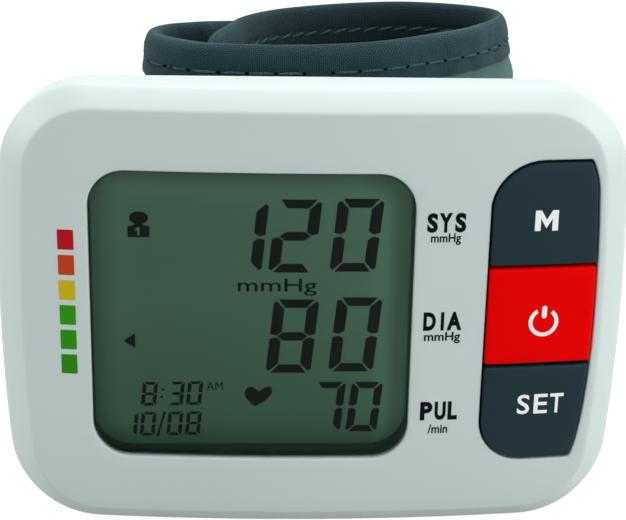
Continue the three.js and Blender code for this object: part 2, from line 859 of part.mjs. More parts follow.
function rearCover() {
  const shell = cut(rearOuter, rearHollow);
  const posts = caseScrews.map(({ x, z }) =>
    barAlongY(x, z, rearPostRadius, bossDepth + fitGap, deepest, smallSides),
  );
  const bayEnds = [
    block(bayLeft, bayRight, bayFront, deepest, 0, contactBase - fitGap),
    block(bayLeft, bayRight, bayFront, deepest, contactTop + contactPlate + fitGap, bodyHeight),
  ];
  const bayDivider = block(
    bayRight,
    bayRight + bayWall,
    bayFront,
    deepest,
    boardEndMargin,
    boardTop,
  );
  const cradles = cut(
    join(
      ...cradleRibs(pumpX, pumpRadius, [pumpBase + cradleRib, motorTop - 2 * cradleRib]),
      ...cradleRibs(valveX, valveRadius, [valveBase + cradleRib, valveBase + valveLength / 2]),
    ),
    cradlePlace(pumpX, pumpRadius),
    cradlePlace(valveX, valveRadius),
  );
  const guides = tongueHeights.flatMap((z) => [tongueGuide(z, -1), tongueGuide(z, 1)]);
  const inside = overlap(
    join(...posts, ...bayEnds, bayDivider, cradles, ...guides),
    rearOuter,
  );
  const screwHoles = caseScrews.flatMap(({ x, z }) => [
    barAlongY(x, z, screwShankRadius + fitGap, 0, deepest),
    barAlongY(x, z, screwHeadRadius + fitGap, screwSeatDepth, deepest),
  ]);
  const doorway = block(
    -bodyWidth,
    -doorEdge + fitGap,
    partingDepth + doorFrontGap - fitGap,
    deepest,
    doorMargin - fitGap,
    bodyHeight - doorMargin + fitGap,
  );
  const hookSlots = hookHeights.map((z) =>
    block(
      cuffX - hookWidth / 2 - fitGap,
      cuffX + hookWidth / 2 + fitGap,
      batteryDepth,
      deepest,
      z - hookThickness / 2 - fitGap,
      z + hookThickness / 2 + hookBarb + fitGap,
    ),
  );
  const airHole = barAlongY(cuffX, midHeight, nippleRadius + passageGap, batteryDepth, deepest);
  return cut(join(shell, centringLip(), inside), ...screwHoles, doorway, ...hookSlots, airHole);
}

function batteryDoor() {
  const front = partingDepth + doorFrontGap;
  const cell = block(-bodyWidth, -doorEdge, front, deepest, doorMargin, bodyHeight - doorMargin);
  const panel = cut(overlap(rearOuter, cell), rearHollow);
  const tongues = tongueHeights.map((z) => {
    const half = doorTongueWidth / 2;
    const right = -doorEdge + doorTongueLength;
    const bar = block(
      -halfBody,
      right,
      tongueBack - doorTongueThickness,
      tongueBack,
      z - half,
      z + half,
    );
    return overlap(bar, rearOuter);
  });
  const ribDepth = (partingDepth + bodyDepth) / 2;
  const ribs = Array.from({ length: doorRibCount }, (_, i) => {
    const y = ribDepth + (i - (doorRibCount - 1) / 2) * doorRibPitch;
    const side = doorSideAt(y);
    const [base, top] = [midHeight - doorRibLength / 2, midHeight + doorRibLength / 2];
    const back = y + doorRibWidth;
    return block(-side - doorRibHeight, -side + coverWall / 2, y, back, base, top);
  });
  return join(panel, ...tongues, ...ribs);
}

// Half the rear cover's width at depth y, on its straight taper.
function doorSideAt(y) {
  const end = saddleAt(halfBody - rearTaperSide) - rearEdge;
  const share = (y - partingDepth) / (end - partingDepth);
  return halfBody - rearStep - (rearTaperSide - rearStep) * share;
}

piece('rear_cover', rearCover(), shellWhite);
piece('battery_door', batteryDoor(), shellWhite);

// Batteries and contacts

// One cell, standing with its nub up, or down if turned.
function cell(turned) {
  const shoulder = batteryLength - batteryNubHeight;
  const profile = [
    new THREE.Vector2(0, 0),
    new THREE.Vector2(batteryRadius, 0),
    new THREE.Vector2(batteryRadius, shoulder),
    new THREE.Vector2(batteryNubRadius, shoulder),
    new THREE.Vector2(batteryNubRadius, batteryLength),
    new THREE.Vector2(0, batteryLength),
  ];
  const geometry = new THREE.LatheGeometry(profile, roundSides);
  geometry.rotateX(turned ? -Math.PI / 2 : Math.PI / 2);
  geometry.translate(0, batteryDepth, turned ? batteryTop : batteryBase);
  return geometry;
}

function placedCell(x, turned) {
  const geometry = cell(turned);
  geometry.translate(x, 0, 0);
  return solid(geometry);
}

// A thin contact sheet with a raised button that meets a battery's nub.
function contact(left, right, base, buttonX, buttonBase, buttonTop) {
  const half = contactWidth / 2;
  const sheet = block(
    left,
    right,
    batteryDepth - half,
    batteryDepth + half,
    base,
    base + contactPlate,
  );
  if (buttonTop === undefined) {
    return sheet;
  }
  return join(sheet, barAlongZ(buttonX, batteryDepth, batteryNubRadius, buttonBase, buttonTop));
}

// A cone of spring wire, wound up from a wide turn to a narrow one.
function coil(x, y, base, height, wide, narrow, turns, wire, facing = 1) {
  const steps = turns * turnSteps;
  const points = Array.from({ length: steps + 1 }, (_, i) => {
    const share = i / steps;
    const angle = 2 * Math.PI * turns * share;
    const radius = wide + (narrow - wide) * share;
    const rise = facing * height * share;
    return new THREE.Vector3(x + radius * Math.cos(angle), y + radius * Math.sin(angle), base + rise);
  });
  const section = new THREE.Shape();
  section.absarc(0, 0, wire, 0, 2 * Math.PI);
  const geometry = new THREE.ExtrudeGeometry(section, {
    steps,
    extrudePath: new THREE.CatmullRomCurve3(points),
    curveSegments: wireSides / 2,
  });
  return solid(geometry);
}

const springTurns = 2;
const valveSpringTurns = 3;
const springHeight = contactReach - 2 * fitGap - 2 * springWire;
const halfContact = contactLength / 2;

piece('battery_outer', placedCell(outerCellX, false), cellCopper);
piece('battery_inner', placedCell(batteryX, true), cellCopper);
piece(
  'battery_link',
  contact(
    outerCellX - halfContact,
    batteryX + halfContact,
    contactTop,
    outerCellX,
    batteryTop + fitGap,
    contactTop + contactPlate / 2,
  ),
  steel,
);
piece(
  'battery_contact_outer',
  contact(outerCellX - halfContact, outerCellX + halfContact, contactBase),
  steel,
);
piece(
  'battery_contact_inner',
  contact(
    batteryX - halfContact,
    batteryX + halfContact,
    contactBase,
    batteryX,
    contactBase + contactPlate / 2,
    batteryBase - fitGap,
  ),
  steel,
);
piece(
  'battery_spring_outer',
  coil(
    outerCellX,
    batteryDepth,
    contactBase + contactPlate + fitGap + springWire,
    springHeight,
    springWide,
    springNarrow,
    springTurns,
    springWire,
  ),
  spring,
);
piece(
  'battery_spring_inner',
  coil(
    batteryX,
    batteryDepth,
    contactTop - fitGap - springWire,
    springHeight,
    springWide,
    springNarrow,
    springTurns,
    springWire,
    -1,
  ),
  spring,
);

// Pump

const airDepth = batteryDepth;

function pumpMotor() {
  return cut(
    barAlongZ(pumpX, airDepth, pumpRadius, pumpBase, motorTop, roundSides),
    barAlongZ(pumpX, airDepth, motorBore, motorTop - motorBoreDepth, motorTop + overrun),
  );
}

function pumpHead() {
  return cut(
    join(
      barAlongZ(pumpX, airDepth, pumpRadius, headBase, headTop, roundSides),
      barAlongZ(pumpX, airDepth, nozzleRadius, headTop - seatGap, headTop + nozzleLength),
    ),
    barAlongZ(pumpX, airDepth, pumpHeadBore, headBase - overrun, headBase + pumpHeadBoreDepth),
  );
}

function pumpShaft() {
  const base = motorTop - motorBoreDepth + fitGap;
  const top = base + shaftLength;
  const crankX = pumpX + crankOffset;
  return join(
    barAlongZ(pumpX, airDepth, shaftRadius, base, top),
    barAlongZ(crankX, airDepth, crankRadius, top - crankHeight, top),
  );
}

piece('pump_motor', pumpMotor(), steel);
piece('pump_head', pumpHead(), darkPlastic);
piece('pump_shaft', pumpShaft(), steel);

// Release valve

const plungerTop = valveBase - plungerGap - plungerHeadHeight + plungerLength;

function valveBody() {
  const top = valveBase + valveLength;
  return cut(
    join(
      barAlongZ(valveX, airDepth, valveRadius, valveBase, top, roundSides),
      barAlongZ(valveX, airDepth, nozzleRadius, top - seatGap, top + nozzleLength),
    ),
    barAlongZ(valveX, airDepth, valveBore, valveBase - overrun, valveBase + valveBoreDepth),
  );
}

function valvePlunger() {
  const base = plungerTop - plungerLength;
  return join(
    barAlongZ(valveX, airDepth, plungerRadius, base, plungerTop),
    barAlongZ(valveX, airDepth, plungerHeadRadius, base, base + plungerHeadHeight),
  );
}

const valveSpringRoom = plungerGap - 2 * fitGap - 2 * springWire;

piece('valve_body', valveBody(), steel);
piece('valve_plunger', valvePlunger(), steel);
piece(
  'valve_spring',
  coil(
    valveX,
    airDepth,
    valveBase - plungerGap + fitGap + springWire,
    valveSpringRoom,
    valveSpringRadius,
    valveSpringRadius,
    valveSpringTurns,
    springWire,
  ),
  spring,
);

// Air line

function airManifold() {
  const half = manifoldSize / 2;
  const body = block(
    manifoldLeft,
    manifoldRight,
    airDepth - half,
    airDepth + half,
    manifoldBase,
    manifoldHeight + half,
  );
  const across = barAlongX(
    airDepth,
    manifoldHeight,
    nozzleRadius,
    manifoldLeft - nozzleLength,
    manifoldRight + nozzleLength,
  );
  const down = [pumpX, sensorPortX].map((x) =>
    barAlongZ(x, airDepth, nozzleRadius, manifoldBase - nozzleLength, manifoldBase + seatGap),
  );
  return join(body, across, ...down);
}

// A soft air tube with its bore, along a route through the given points.
function airTube(points, steps) {
  const section = new THREE.Shape();
  section.absarc(0, 0, tubeOuter, 0, 2 * Math.PI);
  const bore = new THREE.Path();
  bore.absarc(0, 0, tubeBore, 0, 2 * Math.PI);
  section.holes.push(bore);
  const route = new THREE.CatmullRomCurve3(points.map(([x, y, z]) => new THREE.Vector3(x, y, z)));
  const geometry = new THREE.ExtrudeGeometry(section, {
    steps,
    extrudePath: route,
    curveSegments: tubeSides / 2,
  });
  return solid(geometry);
}

const valveTop = valveBase + valveLength;
const sensorMouth = boardBack + seatGap + sensorHeight;
const nippleTip = saddleAt(cuffX) - coverWall - nippleReach;
const bend = 2 * tubeOuter; // how wide the tubes turn

const cuffRoute = [
  [cuffX, nippleTip + nozzleLength, midHeight],
  [cuffX, nippleTip, midHeight],
  [cuffX, airDepth + bend / 4, midHeight + bend / 3],
  [cuffX, airDepth, midHeight + bend],
  [cuffX, airDepth, manifoldHeight - bend],
  [cuffX + bend / 3, airDepth, manifoldHeight - bend / 4],
  [manifoldLeft - nozzleLength - fitGap, airDepth, manifoldHeight],
  [manifoldLeft - fitGap, airDepth, manifoldHeight],
];
const pumpRoute = [
  [pumpX, airDepth, headTop + fitGap],
  [pumpX, airDepth, manifoldBase - fitGap],
];
const sensorRoute = [
  [sensorPortX, airDepth, manifoldBase - fitGap],
  [sensorPortX, airDepth, manifoldBase - nozzleLength],
  [(sensorPortX + sensorX) / 2, airDepth + bend / 4, sensorZ + 2 * bend],
  [sensorX, airDepth + bend / 2, sensorZ + bend],
  [sensorX, airDepth + bend / 3, sensorZ + bend / 4],
  [sensorX, sensorMouth + nozzleLength, sensorZ],
  [sensorX, sensorMouth + fitGap, sensorZ],
];
const valveRoute = [
  [manifoldRight + fitGap, airDepth, manifoldHeight],
  [manifoldRight + nozzleLength, airDepth, manifoldHeight],
  [valveX - bend / 4, airDepth, manifoldHeight - bend / 4],
  [valveX, airDepth, manifoldHeight - bend],
  [valveX, airDepth, valveTop + nozzleLength],
  [valveX, airDepth, valveTop + fitGap],
];

piece('air_manifold', airManifold(), darkPlastic);
piece('cuff_tube', airTube(cuffRoute, tubeSteps), tubeClear);
piece('pump_tube', airTube(pumpRoute, straightSteps), tubeClear);
piece('sensor_tube', airTube(sensorRoute, tubeSteps), tubeClear);
piece('valve_tube', airTube(valveRoute, tubeSteps), tubeClear);

// Cuff

const sleeveHalf = sleeveThickness / 2;
const plateFront = saddleAt(cuffX - plateWidth / 2) + fitGap;
const plateBack = plateFront + plateThickness;
const loopFront = plateBack + cuffStandoff + sleeveHalf;

// The three stretches of the cuff, as shares of the loop's width and depth.
const leftFoldShare = [0.054, 0.146];
const rightFoldShare = [0.882, 0.388];
const frontShares = [
  leftFoldShare, [0.114, 0.064], [0.164, 0.026], [0.262, 0.005], [0.339, 0], [0.457, 0.016],
  [0.525, 0.04], [0.596, 0.078], [0.671, 0.141], [0.75, 0.226], [0.827, 0.311], rightFoldShare,
];
const bandShares = [
  rightFoldShare, [0.929, 0.485], [0.971, 0.595], [0.998, 0.713], [0.993, 0.819], [0.939, 0.908],
  [0.855, 0.965], [0.736, 0.993], [0.611, 0.955], [0.487, 0.882], [0.382, 0.791], [0.304, 0.682],
  [0.252, 0.555], [0.22, 0.4], [0.193, 0.266], [0.168, 0.106],
];
const flapShares = [
  leftFoldShare, [0.029, 0.216], [0.025, 0.311], [0.054, 0.4], [0.102, 0.461], [0.143, 0.518],
  [0.171, 0.602], [0.229, 0.748], [0.325, 0.88], [0.443, 0.984], [0.579, 1.064], [0.654, 1.092],
];

function loopPoint([acrossShare, backShare]) {
  const x = acrossShare * loopWidth + loopLeft;
  return new THREE.Vector3(x, loopFront + backShare * loopDepth, 0);
}

function stretch(shares) {
  return new THREE.CatmullRomCurve3(shares.map(loopPoint));
}

const frontPath = stretch(frontShares);
const bandPath = stretch(bandShares);
const flapPath = stretch(flapShares);
const leftFold = loopPoint(leftFoldShare);
const rightFold = loopPoint(rightFoldShare);

// How far the loop's right side stands out at height z, growing from the fold to the side.
function flareAt(x, z) {
  const share = THREE.MathUtils.smoothstep(x, rightFold.x, loopLeft + loopWidth);
  return rightFlare * share * (1 - z / cuffHeight);
}

// The section of a padded strip with tape rolled over its top and bottom edges.
function tapedSection(half, base, top) {
  const roll = half + bindingBulge;
  const soft = roll * Math.SQRT1_2;
  const side = [
    [0, top],
    [soft, top - roll + soft],
    [roll, top - roll],
    [roll, top - bindingDepth],
    [half, top - bindingDepth - bindingBulge],
    [half, base + bindingDepth + bindingBulge],
    [roll, base + bindingDepth],
    [roll, base + roll],
    [soft, base + roll - soft],
    [0, base],
  ];
  const mirrored = side.slice(1, -1).reverse().map(([across, z]) => [-across, z]);
  return [...side, ...mirrored];
}

function plainSection(half, base, top) {
  return [[0, top], [half, top], [half, base], [0, base], [-half, base], [-half, top]];
}

// A strip along a stretch of the cuff. It runs from one length along the path to another, at an
// offset from the path's middle, with the section that sectionAt gives for each share of the way.
function strip(path, { from, to, offset = 0, steps, sectionAt }) {
  const length = path.getLength();
  const rings = Array.from({ length: steps + 1 }, (_, i) => {
    const share = i / steps;
    const place = (from + (to - from) * share) / length;
    const middle = path.getPointAt(place);
    const along = path.getTangentAt(place);
    const across = new THREE.Vector3(along.y, -along.x, 0);
    return sectionAt(share).map(([side, z]) => {
      const point = middle.clone().addScaledVector(across, offset + side);
      return new THREE.Vector3(point.x + flareAt(point.x, z), point.y, z);
    });
  });
  return solid(loft(rings));
}

// Round end of a strip at its fold, so that it turns there without touching its neighbour.
function foldEnd(fold, half) {
  const radius = half + bindingBulge;
  const body = barAlongZ(fold.x, fold.y, half, bindingDepth, cuffHeight - bindingDepth, smallSides);
  const crown = barAlongZ(fold.x, fold.y, radius, radius, bindingDepth, smallSides);
  const foot = barAlongZ(
    fold.x,
    fold.y,
    radius,
    cuffHeight - bindingDepth,
    cuffHeight - radius,
    smallSides,
  );
  return join(body, crown, foot);
}

const flapHalf = flapThickness / 2;
const bandHalf = bandThickness / 2;
const frontFrom = flapHalf + bindingBulge + foldGap;
const frontTo = frontPath.getLength() - bandHalf - bindingBulge - foldGap;
const pocketHalf = sleeveHalf - sleeveFabric;
const bladderOffset = pocketHalf - fitGap - bladderThickness / 2;
const curlOffset = pocketHalf - fitGap - curlThickness / 2;

// The front of the cuff: a sleeve, open at its right end, that holds the bladder.
function cuffFront() {
  const sleeve = strip(frontPath, {
    from: frontFrom,
    to: frontTo,
    steps: frontSteps,
    sectionAt: () => tapedSection(sleeveHalf, 0, cuffHeight),
  });
  const pocket = strip(frontPath, {
    from: frontFrom + bindingDepth / 2,
    to: frontPath.getLength(),
    steps: frontSteps,
    sectionAt: () => plainSection(pocketHalf, bindingDepth, cuffHeight - bindingDepth),
  });
  const airHole = barAlongY(
    cuffX,
    midHeight,
    nippleRadius + passageGap,
    bodyDepth,
    loopFront,
    smallSides,
  );
  return cut(sleeve, pocket, airHole);
}

function bladder() {
  const inset = bladderInset;
  return strip(frontPath, {
    from: frontFrom + inset,
    to: frontTo - inset,
    offset: -bladderOffset,
    steps: frontSteps,
    sectionAt: () => plainSection(bladderThickness / 2, inset, cuffHeight - inset),
  });
}

// The springy sheet that keeps the cuff curled, with a hole for the nipple's flange.
function curlSheet() {
  const sheet = strip(frontPath, {
    from: frontFrom + curlInset,
    to: frontTo - curlInset / 2,
    offset: curlOffset,
    steps: frontSteps,
    sectionAt: () => plainSection(curlThickness / 2, bladderInset, cuffHeight - bladderInset),
  });
  const hole = nippleFlangeRadius + passageGap;
  return cut(sheet, barAlongY(cuffX, midHeight, hole, bodyDepth, loopFront + sleeveThickness));
}

function cuffBand() {
  const length = bandPath.getLength();
  const body = strip(bandPath, {
    from: 0,
    to: length,
    steps: bandSteps,
    sectionAt: () => tapedSection(bandHalf, 0, cuffHeight),
  });
  return join(body, foldEnd(rightFold, bandHalf));
}

// The flap tapers towards its free end, which lies lower and shorter than the rest.
const dropFromShare = 0.3;
const dropToShare = 0.62;

function flapSection(share, half) {
  const drop = flapDrop * THREE.MathUtils.smoothstep(share, dropFromShare, dropToShare);
  return tapedSection(half, drop, cuffHeight - drop);
}

function cuffFlap() {
  const body = strip(flapPath, {
    from: 0,
    to: flapPath.getLength(),
    steps: flapSteps,
    sectionAt: (share) => flapSection(share, flapHalf),
  });
  return join(body, foldEnd(leftFold, flapHalf));
}

// Hook and loop patches where the flap lies on the band. Each faces the other.
const hookFromShare = 0.62;
const hookToShare = 0.96;
const loopFromShare = 0.56;
const loopToShare = 0.82;

function hookPatch() {
  const length = flapPath.getLength();
  return strip(flapPath, {
    from: length * hookFromShare,
    to: length * hookToShare,
    offset: flapHalf + fitGap + patchThickness / 2,
    steps: patchSteps,
    sectionAt: () => plainSection(patchThickness / 2, patchInset, cuffHeight - patchInset),
  });
}

function loopPatch() {
  const length = bandPath.getLength();
  return strip(bandPath, {
    from: length * loopFromShare,
    to: length * loopToShare,
    offset: bandHalf + fitGap + patchThickness / 2,
    steps: patchSteps,
    sectionAt: () => plainSection(patchThickness / 2, patchInset, cuffHeight - patchInset),
  });
}

// The plate that clips the cuff to the back of the case, with two hooks.
function cuffPlate() {
  const plate = block(
    cuffX - plateWidth / 2,
    cuffX + plateWidth / 2,
    plateFront,
    plateBack,
    midHeight - plateHeight / 2,
    midHeight + plateHeight / 2,
  );
  const hooks = hookHeights.map((z) => {
    const half = hookThickness / 2;
    const left = cuffX - hookWidth / 2;
    const right = cuffX + hookWidth / 2;
    const tip = plateFront - coverWall - hookReach;
    const step = plateFront - coverWall - 2 * fitGap;
    return join(
      block(left, right, tip, plateBack, z - half, z + half),
      block(left, right, tip, step, z - half, z + half + hookBarb),
    );
  });
  const hole = barAlongY(cuffX, midHeight, nippleRadius + passageGap, bodyDepth, loopFront);
  return cut(join(plate, ...hooks), hole);
}

function airNipple() {
  const flangeFront = loopFront - pocketHalf + fitGap;
  const shoulder = nippleTip + nozzleLength + fitGap;
  const profile = [
    new THREE.Vector2(nozzleRadius / 2, nippleTip),
    new THREE.Vector2(nozzleRadius, nippleTip),
    new THREE.Vector2(nozzleRadius, shoulder),
    new THREE.Vector2(nippleRadius, shoulder),
    new THREE.Vector2(nippleRadius, flangeFront),
    new THREE.Vector2(nippleFlangeRadius, flangeFront),
    new THREE.Vector2(nippleFlangeRadius, flangeFront + nippleFlange),
    new THREE.Vector2(nozzleRadius / 2, flangeFront + nippleFlange),
    new THREE.Vector2(nozzleRadius / 2, nippleTip),
  ];
  const geometry = new THREE.LatheGeometry(profile, smallSides);
  geometry.translate(cuffX, 0, midHeight);
  return solid(geometry);
}

piece('cuff_plate', cuffPlate(), darkPlastic);
piece('air_nipple', airNipple(), darkPlastic);
piece('cuff_front', cuffFront(), sleeveFabricColour);
piece('bladder', bladder(), bladderRubber);
piece('curl_sheet', curlSheet(), curlPlastic);
piece('cuff_band', cuffBand(), linerFabric);
piece('cuff_flap', cuffFlap(), sleeveFabricColour);
piece('hook_patch', hookPatch(), hookFabric);
piece('loop_patch', loopPatch(), hookFabric);

// The origin is the middle of the base.
const bounds = new THREE.Box3().setFromObject(model);
const middle = bounds.getCenter(new THREE.Vector3());
model.position.set(-middle.x, -middle.y, -bounds.min.z);

const monitor = new THREE.Group();
monitor.add(model);

export default monitor;
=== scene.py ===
# %% [markdown]
# # Wrist blood pressure monitor
#
# The solids of the monitor come first, as a fixed frame: each has its real place and size, and
# the bodies that move. Everything made below is laid over that frame, in metres, and all but the
# pieces of the cuff's strip, tape and seams ride on one of its bodies. The box of the bare solids
# is kept, to compare with the finished model.

import math

import bmesh
import bpy
import numpy as np
from mathutils import Matrix, Vector
from mathutils import noise as ripple
from mathutils.geometry import delaunay_2d_cdt


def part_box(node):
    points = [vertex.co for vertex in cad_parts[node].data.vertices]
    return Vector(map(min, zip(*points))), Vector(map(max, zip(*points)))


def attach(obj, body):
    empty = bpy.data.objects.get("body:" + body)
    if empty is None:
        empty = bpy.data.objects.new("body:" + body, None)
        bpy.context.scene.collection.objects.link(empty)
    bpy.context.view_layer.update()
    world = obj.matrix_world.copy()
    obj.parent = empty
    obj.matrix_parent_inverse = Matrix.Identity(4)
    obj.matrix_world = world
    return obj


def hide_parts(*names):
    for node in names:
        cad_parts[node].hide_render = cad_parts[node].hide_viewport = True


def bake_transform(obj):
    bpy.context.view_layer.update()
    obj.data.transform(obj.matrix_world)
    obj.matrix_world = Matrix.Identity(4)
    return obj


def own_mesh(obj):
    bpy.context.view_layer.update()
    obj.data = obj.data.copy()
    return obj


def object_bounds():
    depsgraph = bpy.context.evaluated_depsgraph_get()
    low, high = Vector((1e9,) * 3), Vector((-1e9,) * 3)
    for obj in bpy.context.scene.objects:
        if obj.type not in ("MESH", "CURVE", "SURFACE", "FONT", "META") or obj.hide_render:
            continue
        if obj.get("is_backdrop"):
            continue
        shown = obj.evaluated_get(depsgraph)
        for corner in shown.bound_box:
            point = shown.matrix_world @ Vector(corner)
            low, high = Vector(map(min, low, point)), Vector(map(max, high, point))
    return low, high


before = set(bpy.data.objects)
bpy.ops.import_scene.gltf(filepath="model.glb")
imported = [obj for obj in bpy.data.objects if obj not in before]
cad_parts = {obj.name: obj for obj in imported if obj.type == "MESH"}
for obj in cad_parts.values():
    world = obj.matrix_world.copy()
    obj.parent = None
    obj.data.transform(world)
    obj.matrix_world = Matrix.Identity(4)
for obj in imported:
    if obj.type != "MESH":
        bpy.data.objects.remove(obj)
solid_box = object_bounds()

# %% [markdown]
# ## Places
#
# The case is easiest to think of in millimetres, with the crown of its arched face at depth 0
# and its foot at height 0. `place` turns such a point into the frame's metres. The front cover's
# own box says where the crown is. `added` puts a new object into the scene.

# %% From millimetres on the case to metres in the frame
mm = 0.001
cover_low, cover_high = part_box("front_cover")
body_width = (cover_high.x - cover_low.x) / mm
body_height = (cover_high.z - cover_low.z) / mm
half_width = body_width / 2
middle_z = body_height / 2


def place(x, y, z):
    return Vector((x * mm, y * mm + cover_low.y, z * mm))


def added(name, data):
    """A new object in the scene."""
    made = bpy.data.objects.new(name, data)
    bpy.context.scene.collection.objects.link(made)
    return made


print(f"case {body_width:.1f} mm wide and {body_height:.1f} mm high")

# %% [markdown]
# ## Camera
#
# The photograph was taken a little from above and from the left of the middle, with a short
# telephoto look. The camera was fitted to the edges of the display window, the keys and the
# case: a distance, three angles and a focal length. The lens follows from that focal length in
# pixels, the image's width in pixels and a 36 mm sensor.

# %% Camera at the photograph's viewpoint
image_width = 626
camera_distance = 195.0
camera_rise = math.radians(18.351)
camera_turn = math.radians(-2.897)
camera_roll = math.radians(1.117)
camera_target = (-0.492, 0, 39.077)
focal_pixels = 1509.823
sensor_width = 36

flat = math.cos(camera_rise)
toward_camera = Vector(
    (math.sin(camera_turn) * flat, -math.cos(camera_turn) * flat, math.sin(camera_rise))
)
level = (-toward_camera).cross(Vector((0, 0, 1))).normalized()
upward = level.cross(-toward_camera)
right_axis = math.cos(camera_roll) * level + math.sin(camera_roll) * upward
up_axis = math.cos(camera_roll) * upward - math.sin(camera_roll) * level

camera_data = bpy.data.cameras.new("camera")
camera_data.sensor_width = sensor_width
camera_data.lens = focal_pixels * sensor_width / image_width
camera_data.clip_start = 0.01
camera_data.clip_end = 10
camera = added("camera", camera_data)
turned = Matrix((right_axis, up_axis, toward_camera)).transposed().to_4x4()
spot = place(*camera_target) + camera_distance * mm * toward_camera
camera.matrix_world = Matrix.Translation(spot) @ turned
bpy.context.scene.camera = camera
print(f"lens {camera_data.lens:.1f} mm at {camera_distance:.0f} mm")

# %% [markdown]
# ## Shader maths
#
# Patterns such as weave are sums and products of waves. `Value` wraps a socket, so that they can
# be written as ordinary expressions, and each operator adds the Math node that it needs. `node`
# makes any other node, and gives one of its outputs.


# %% A socket that takes part in expressions
class Value:
    def __init__(self, tree, socket):
        self.tree = tree
        self.socket = socket

    def math(self, operation, *others):
        step = self.tree.nodes.new("ShaderNodeMath")
        step.operation = operation
        for socket, value in zip(step.inputs, (self, *others)):
            feed(self.tree, socket, value)
        return Value(self.tree, step.outputs[0])

    def __rsub__(self, other):
        return self * -1 + other

    def clamped(self):
        return self.math("MAXIMUM", 0).math("MINIMUM", 1)


def operator(operation):
    return lambda value, *others: value.math(operation, *others)


operators = {
    "__add__": "ADD", "__sub__": "SUBTRACT", "__mul__": "MULTIPLY", "__truediv__": "DIVIDE",
    "__pow__": "POWER", "__gt__": "GREATER_THAN", "__lt__": "LESS_THAN",
    "sine": "SINE", "absolute": "ABSOLUTE",
}
for name, operation in operators.items():
    setattr(Value, name, operator(operation))


def feed(tree, socket, value):
    """Sets a socket to a plain number or colour, or links a Value to it."""
    if isinstance(value, Value):
        tree.links.new(value.socket, socket)
    elif isinstance(value, (tuple, list)) and len(socket.default_value) == 4:
        socket.default_value = (*value, 1) if len(value) == 3 else value
    else:
        socket.default_value = value


def node(tree, kind, output=0, settings=(), **inputs):
    """A new node of that kind. An underscore in a socket's name stands for a space."""
    made = tree.nodes.new(kind)
    for name, value in settings:
        setattr(made, name, value)
    wire(tree, made, **inputs)
    return Value(tree, made.outputs[output])


def wire(tree, made, **inputs):
    """Feeds sockets by name. A Mix node keeps one of each for every kind of value."""
    for name, value in inputs.items():
        plain = name.replace("_", " ")
        feed(tree, next(s for s in made.inputs if s.name == plain and s.enabled), value)


def mixed(tree, factor, first, second):
    """A colour between two others."""
    kind = [("data_type", "RGBA")]
    return node(tree, "ShaderNodeMix", 2, kind, Factor=factor, A=first, B=second)


# %% [markdown]
# Colours read off a screen are in the screen's own scale, and a shader works in a linear one.
# `screen` converts them. `material` starts each finish with its shader and its constants.


# %% Colours and the start of a material
def screen(red, green, blue):
    def straight(level):
        share = level / 255
        return share / 12.92 if share <= 0.04045 else ((share + 0.055) / 1.055) ** 2.4

    return tuple(straight(level) for level in (red, green, blue))


def material(name, **constants):
    """A material, its node tree, and its shader with the constants set on its own sockets."""
    made = bpy.data.materials.new(name)
    made.use_nodes = True
    tree = made.node_tree
    shader = tree.nodes["Principled BSDF"]
    wire(tree, shader, **constants)
    return made, tree, shader


def objects_space(tree):
    """Position on the model, in metres. Nothing here is rotated, so it is the frame's own."""
    return node(tree, "ShaderNodeTexCoord", 3)


def parts_of(spot, axes):
    """Parts of a place as Values, by their numbers: 0 for x to 2 for z."""
    return [node(spot.tree, "ShaderNodeSeparateXYZ", axis, Vector=spot) for axis in axes]


def noise(tree, scale, detail=3, roughness=0.5, stretched=(1, 1, 1)):
    """Noise of about 0 to 1, with its grain in millimetres."""
    grain = tuple(1 / (scale * mm * s) for s in stretched)
    spot = node(tree, "ShaderNodeMapping", Vector=objects_space(tree), Scale=grain)
    settings = {"Scale": 1, "Detail": detail, "Roughness": roughness}
    return node(tree, "ShaderNodeTexNoise", Vector=spot, **settings)


def bump(tree, shader, height, strength, distance):
    """A bump of the given height field, with its full height in millimetres."""
    settings = {"Strength": strength, "Distance": distance * mm}
    wire(tree, shader, Normal=node(tree, "ShaderNodeBump", Height=height, **settings))


print("shader helpers ready")

# %% [markdown]
# ## Stage
#
# A plain pale floor under soft studio light. The floor and the world show as white to the camera
# and in gloss and glass, while a share of the floor stays a plain diffuse surface, so it keeps
# the object's shadow. A wide lamp overhead makes the tops bright, two weaker ones in front light
# the face, and one at each side brightens the bevels.

# %% Floor and world
floor_size = 4
floor_clearance = 0.02
floor_shadow_share = 0.35
floor_grey = (0.44, 0.45, 0.45)
floor_glow = 1.44
world_light = 0.42
world_tint = (0.93, 1, 0.99)


def seen_directly(tree):
    """1 where a ray comes from the camera or from gloss or glass, and 0 for diffuse light."""
    camera_ray, glossy_ray, through_ray = (
        node(tree, "ShaderNodeLightPath", output) for output in (0, 3, 6)
    )
    return (camera_ray + glossy_ray + through_ray).clamped()


def floor_finish():
    made = bpy.data.materials.new("pale_floor")
    made.use_nodes = True
    tree = made.node_tree
    tree.nodes.clear()
    plain = node(tree, "ShaderNodeBsdfDiffuse", Color=floor_grey)
    white = node(tree, "ShaderNodeEmission", Color=(1, 1, 1), Strength=floor_glow)
    share = seen_directly(tree) * (1 - floor_shadow_share)
    both = tree.nodes.new("ShaderNodeMixShader")
    for socket, value in zip(both.inputs, (share, plain, white)):
        feed(tree, socket, value)
    output = tree.nodes.new("ShaderNodeOutputMaterial")
    tree.links.new(both.outputs[0], output.inputs["Surface"])
    return made


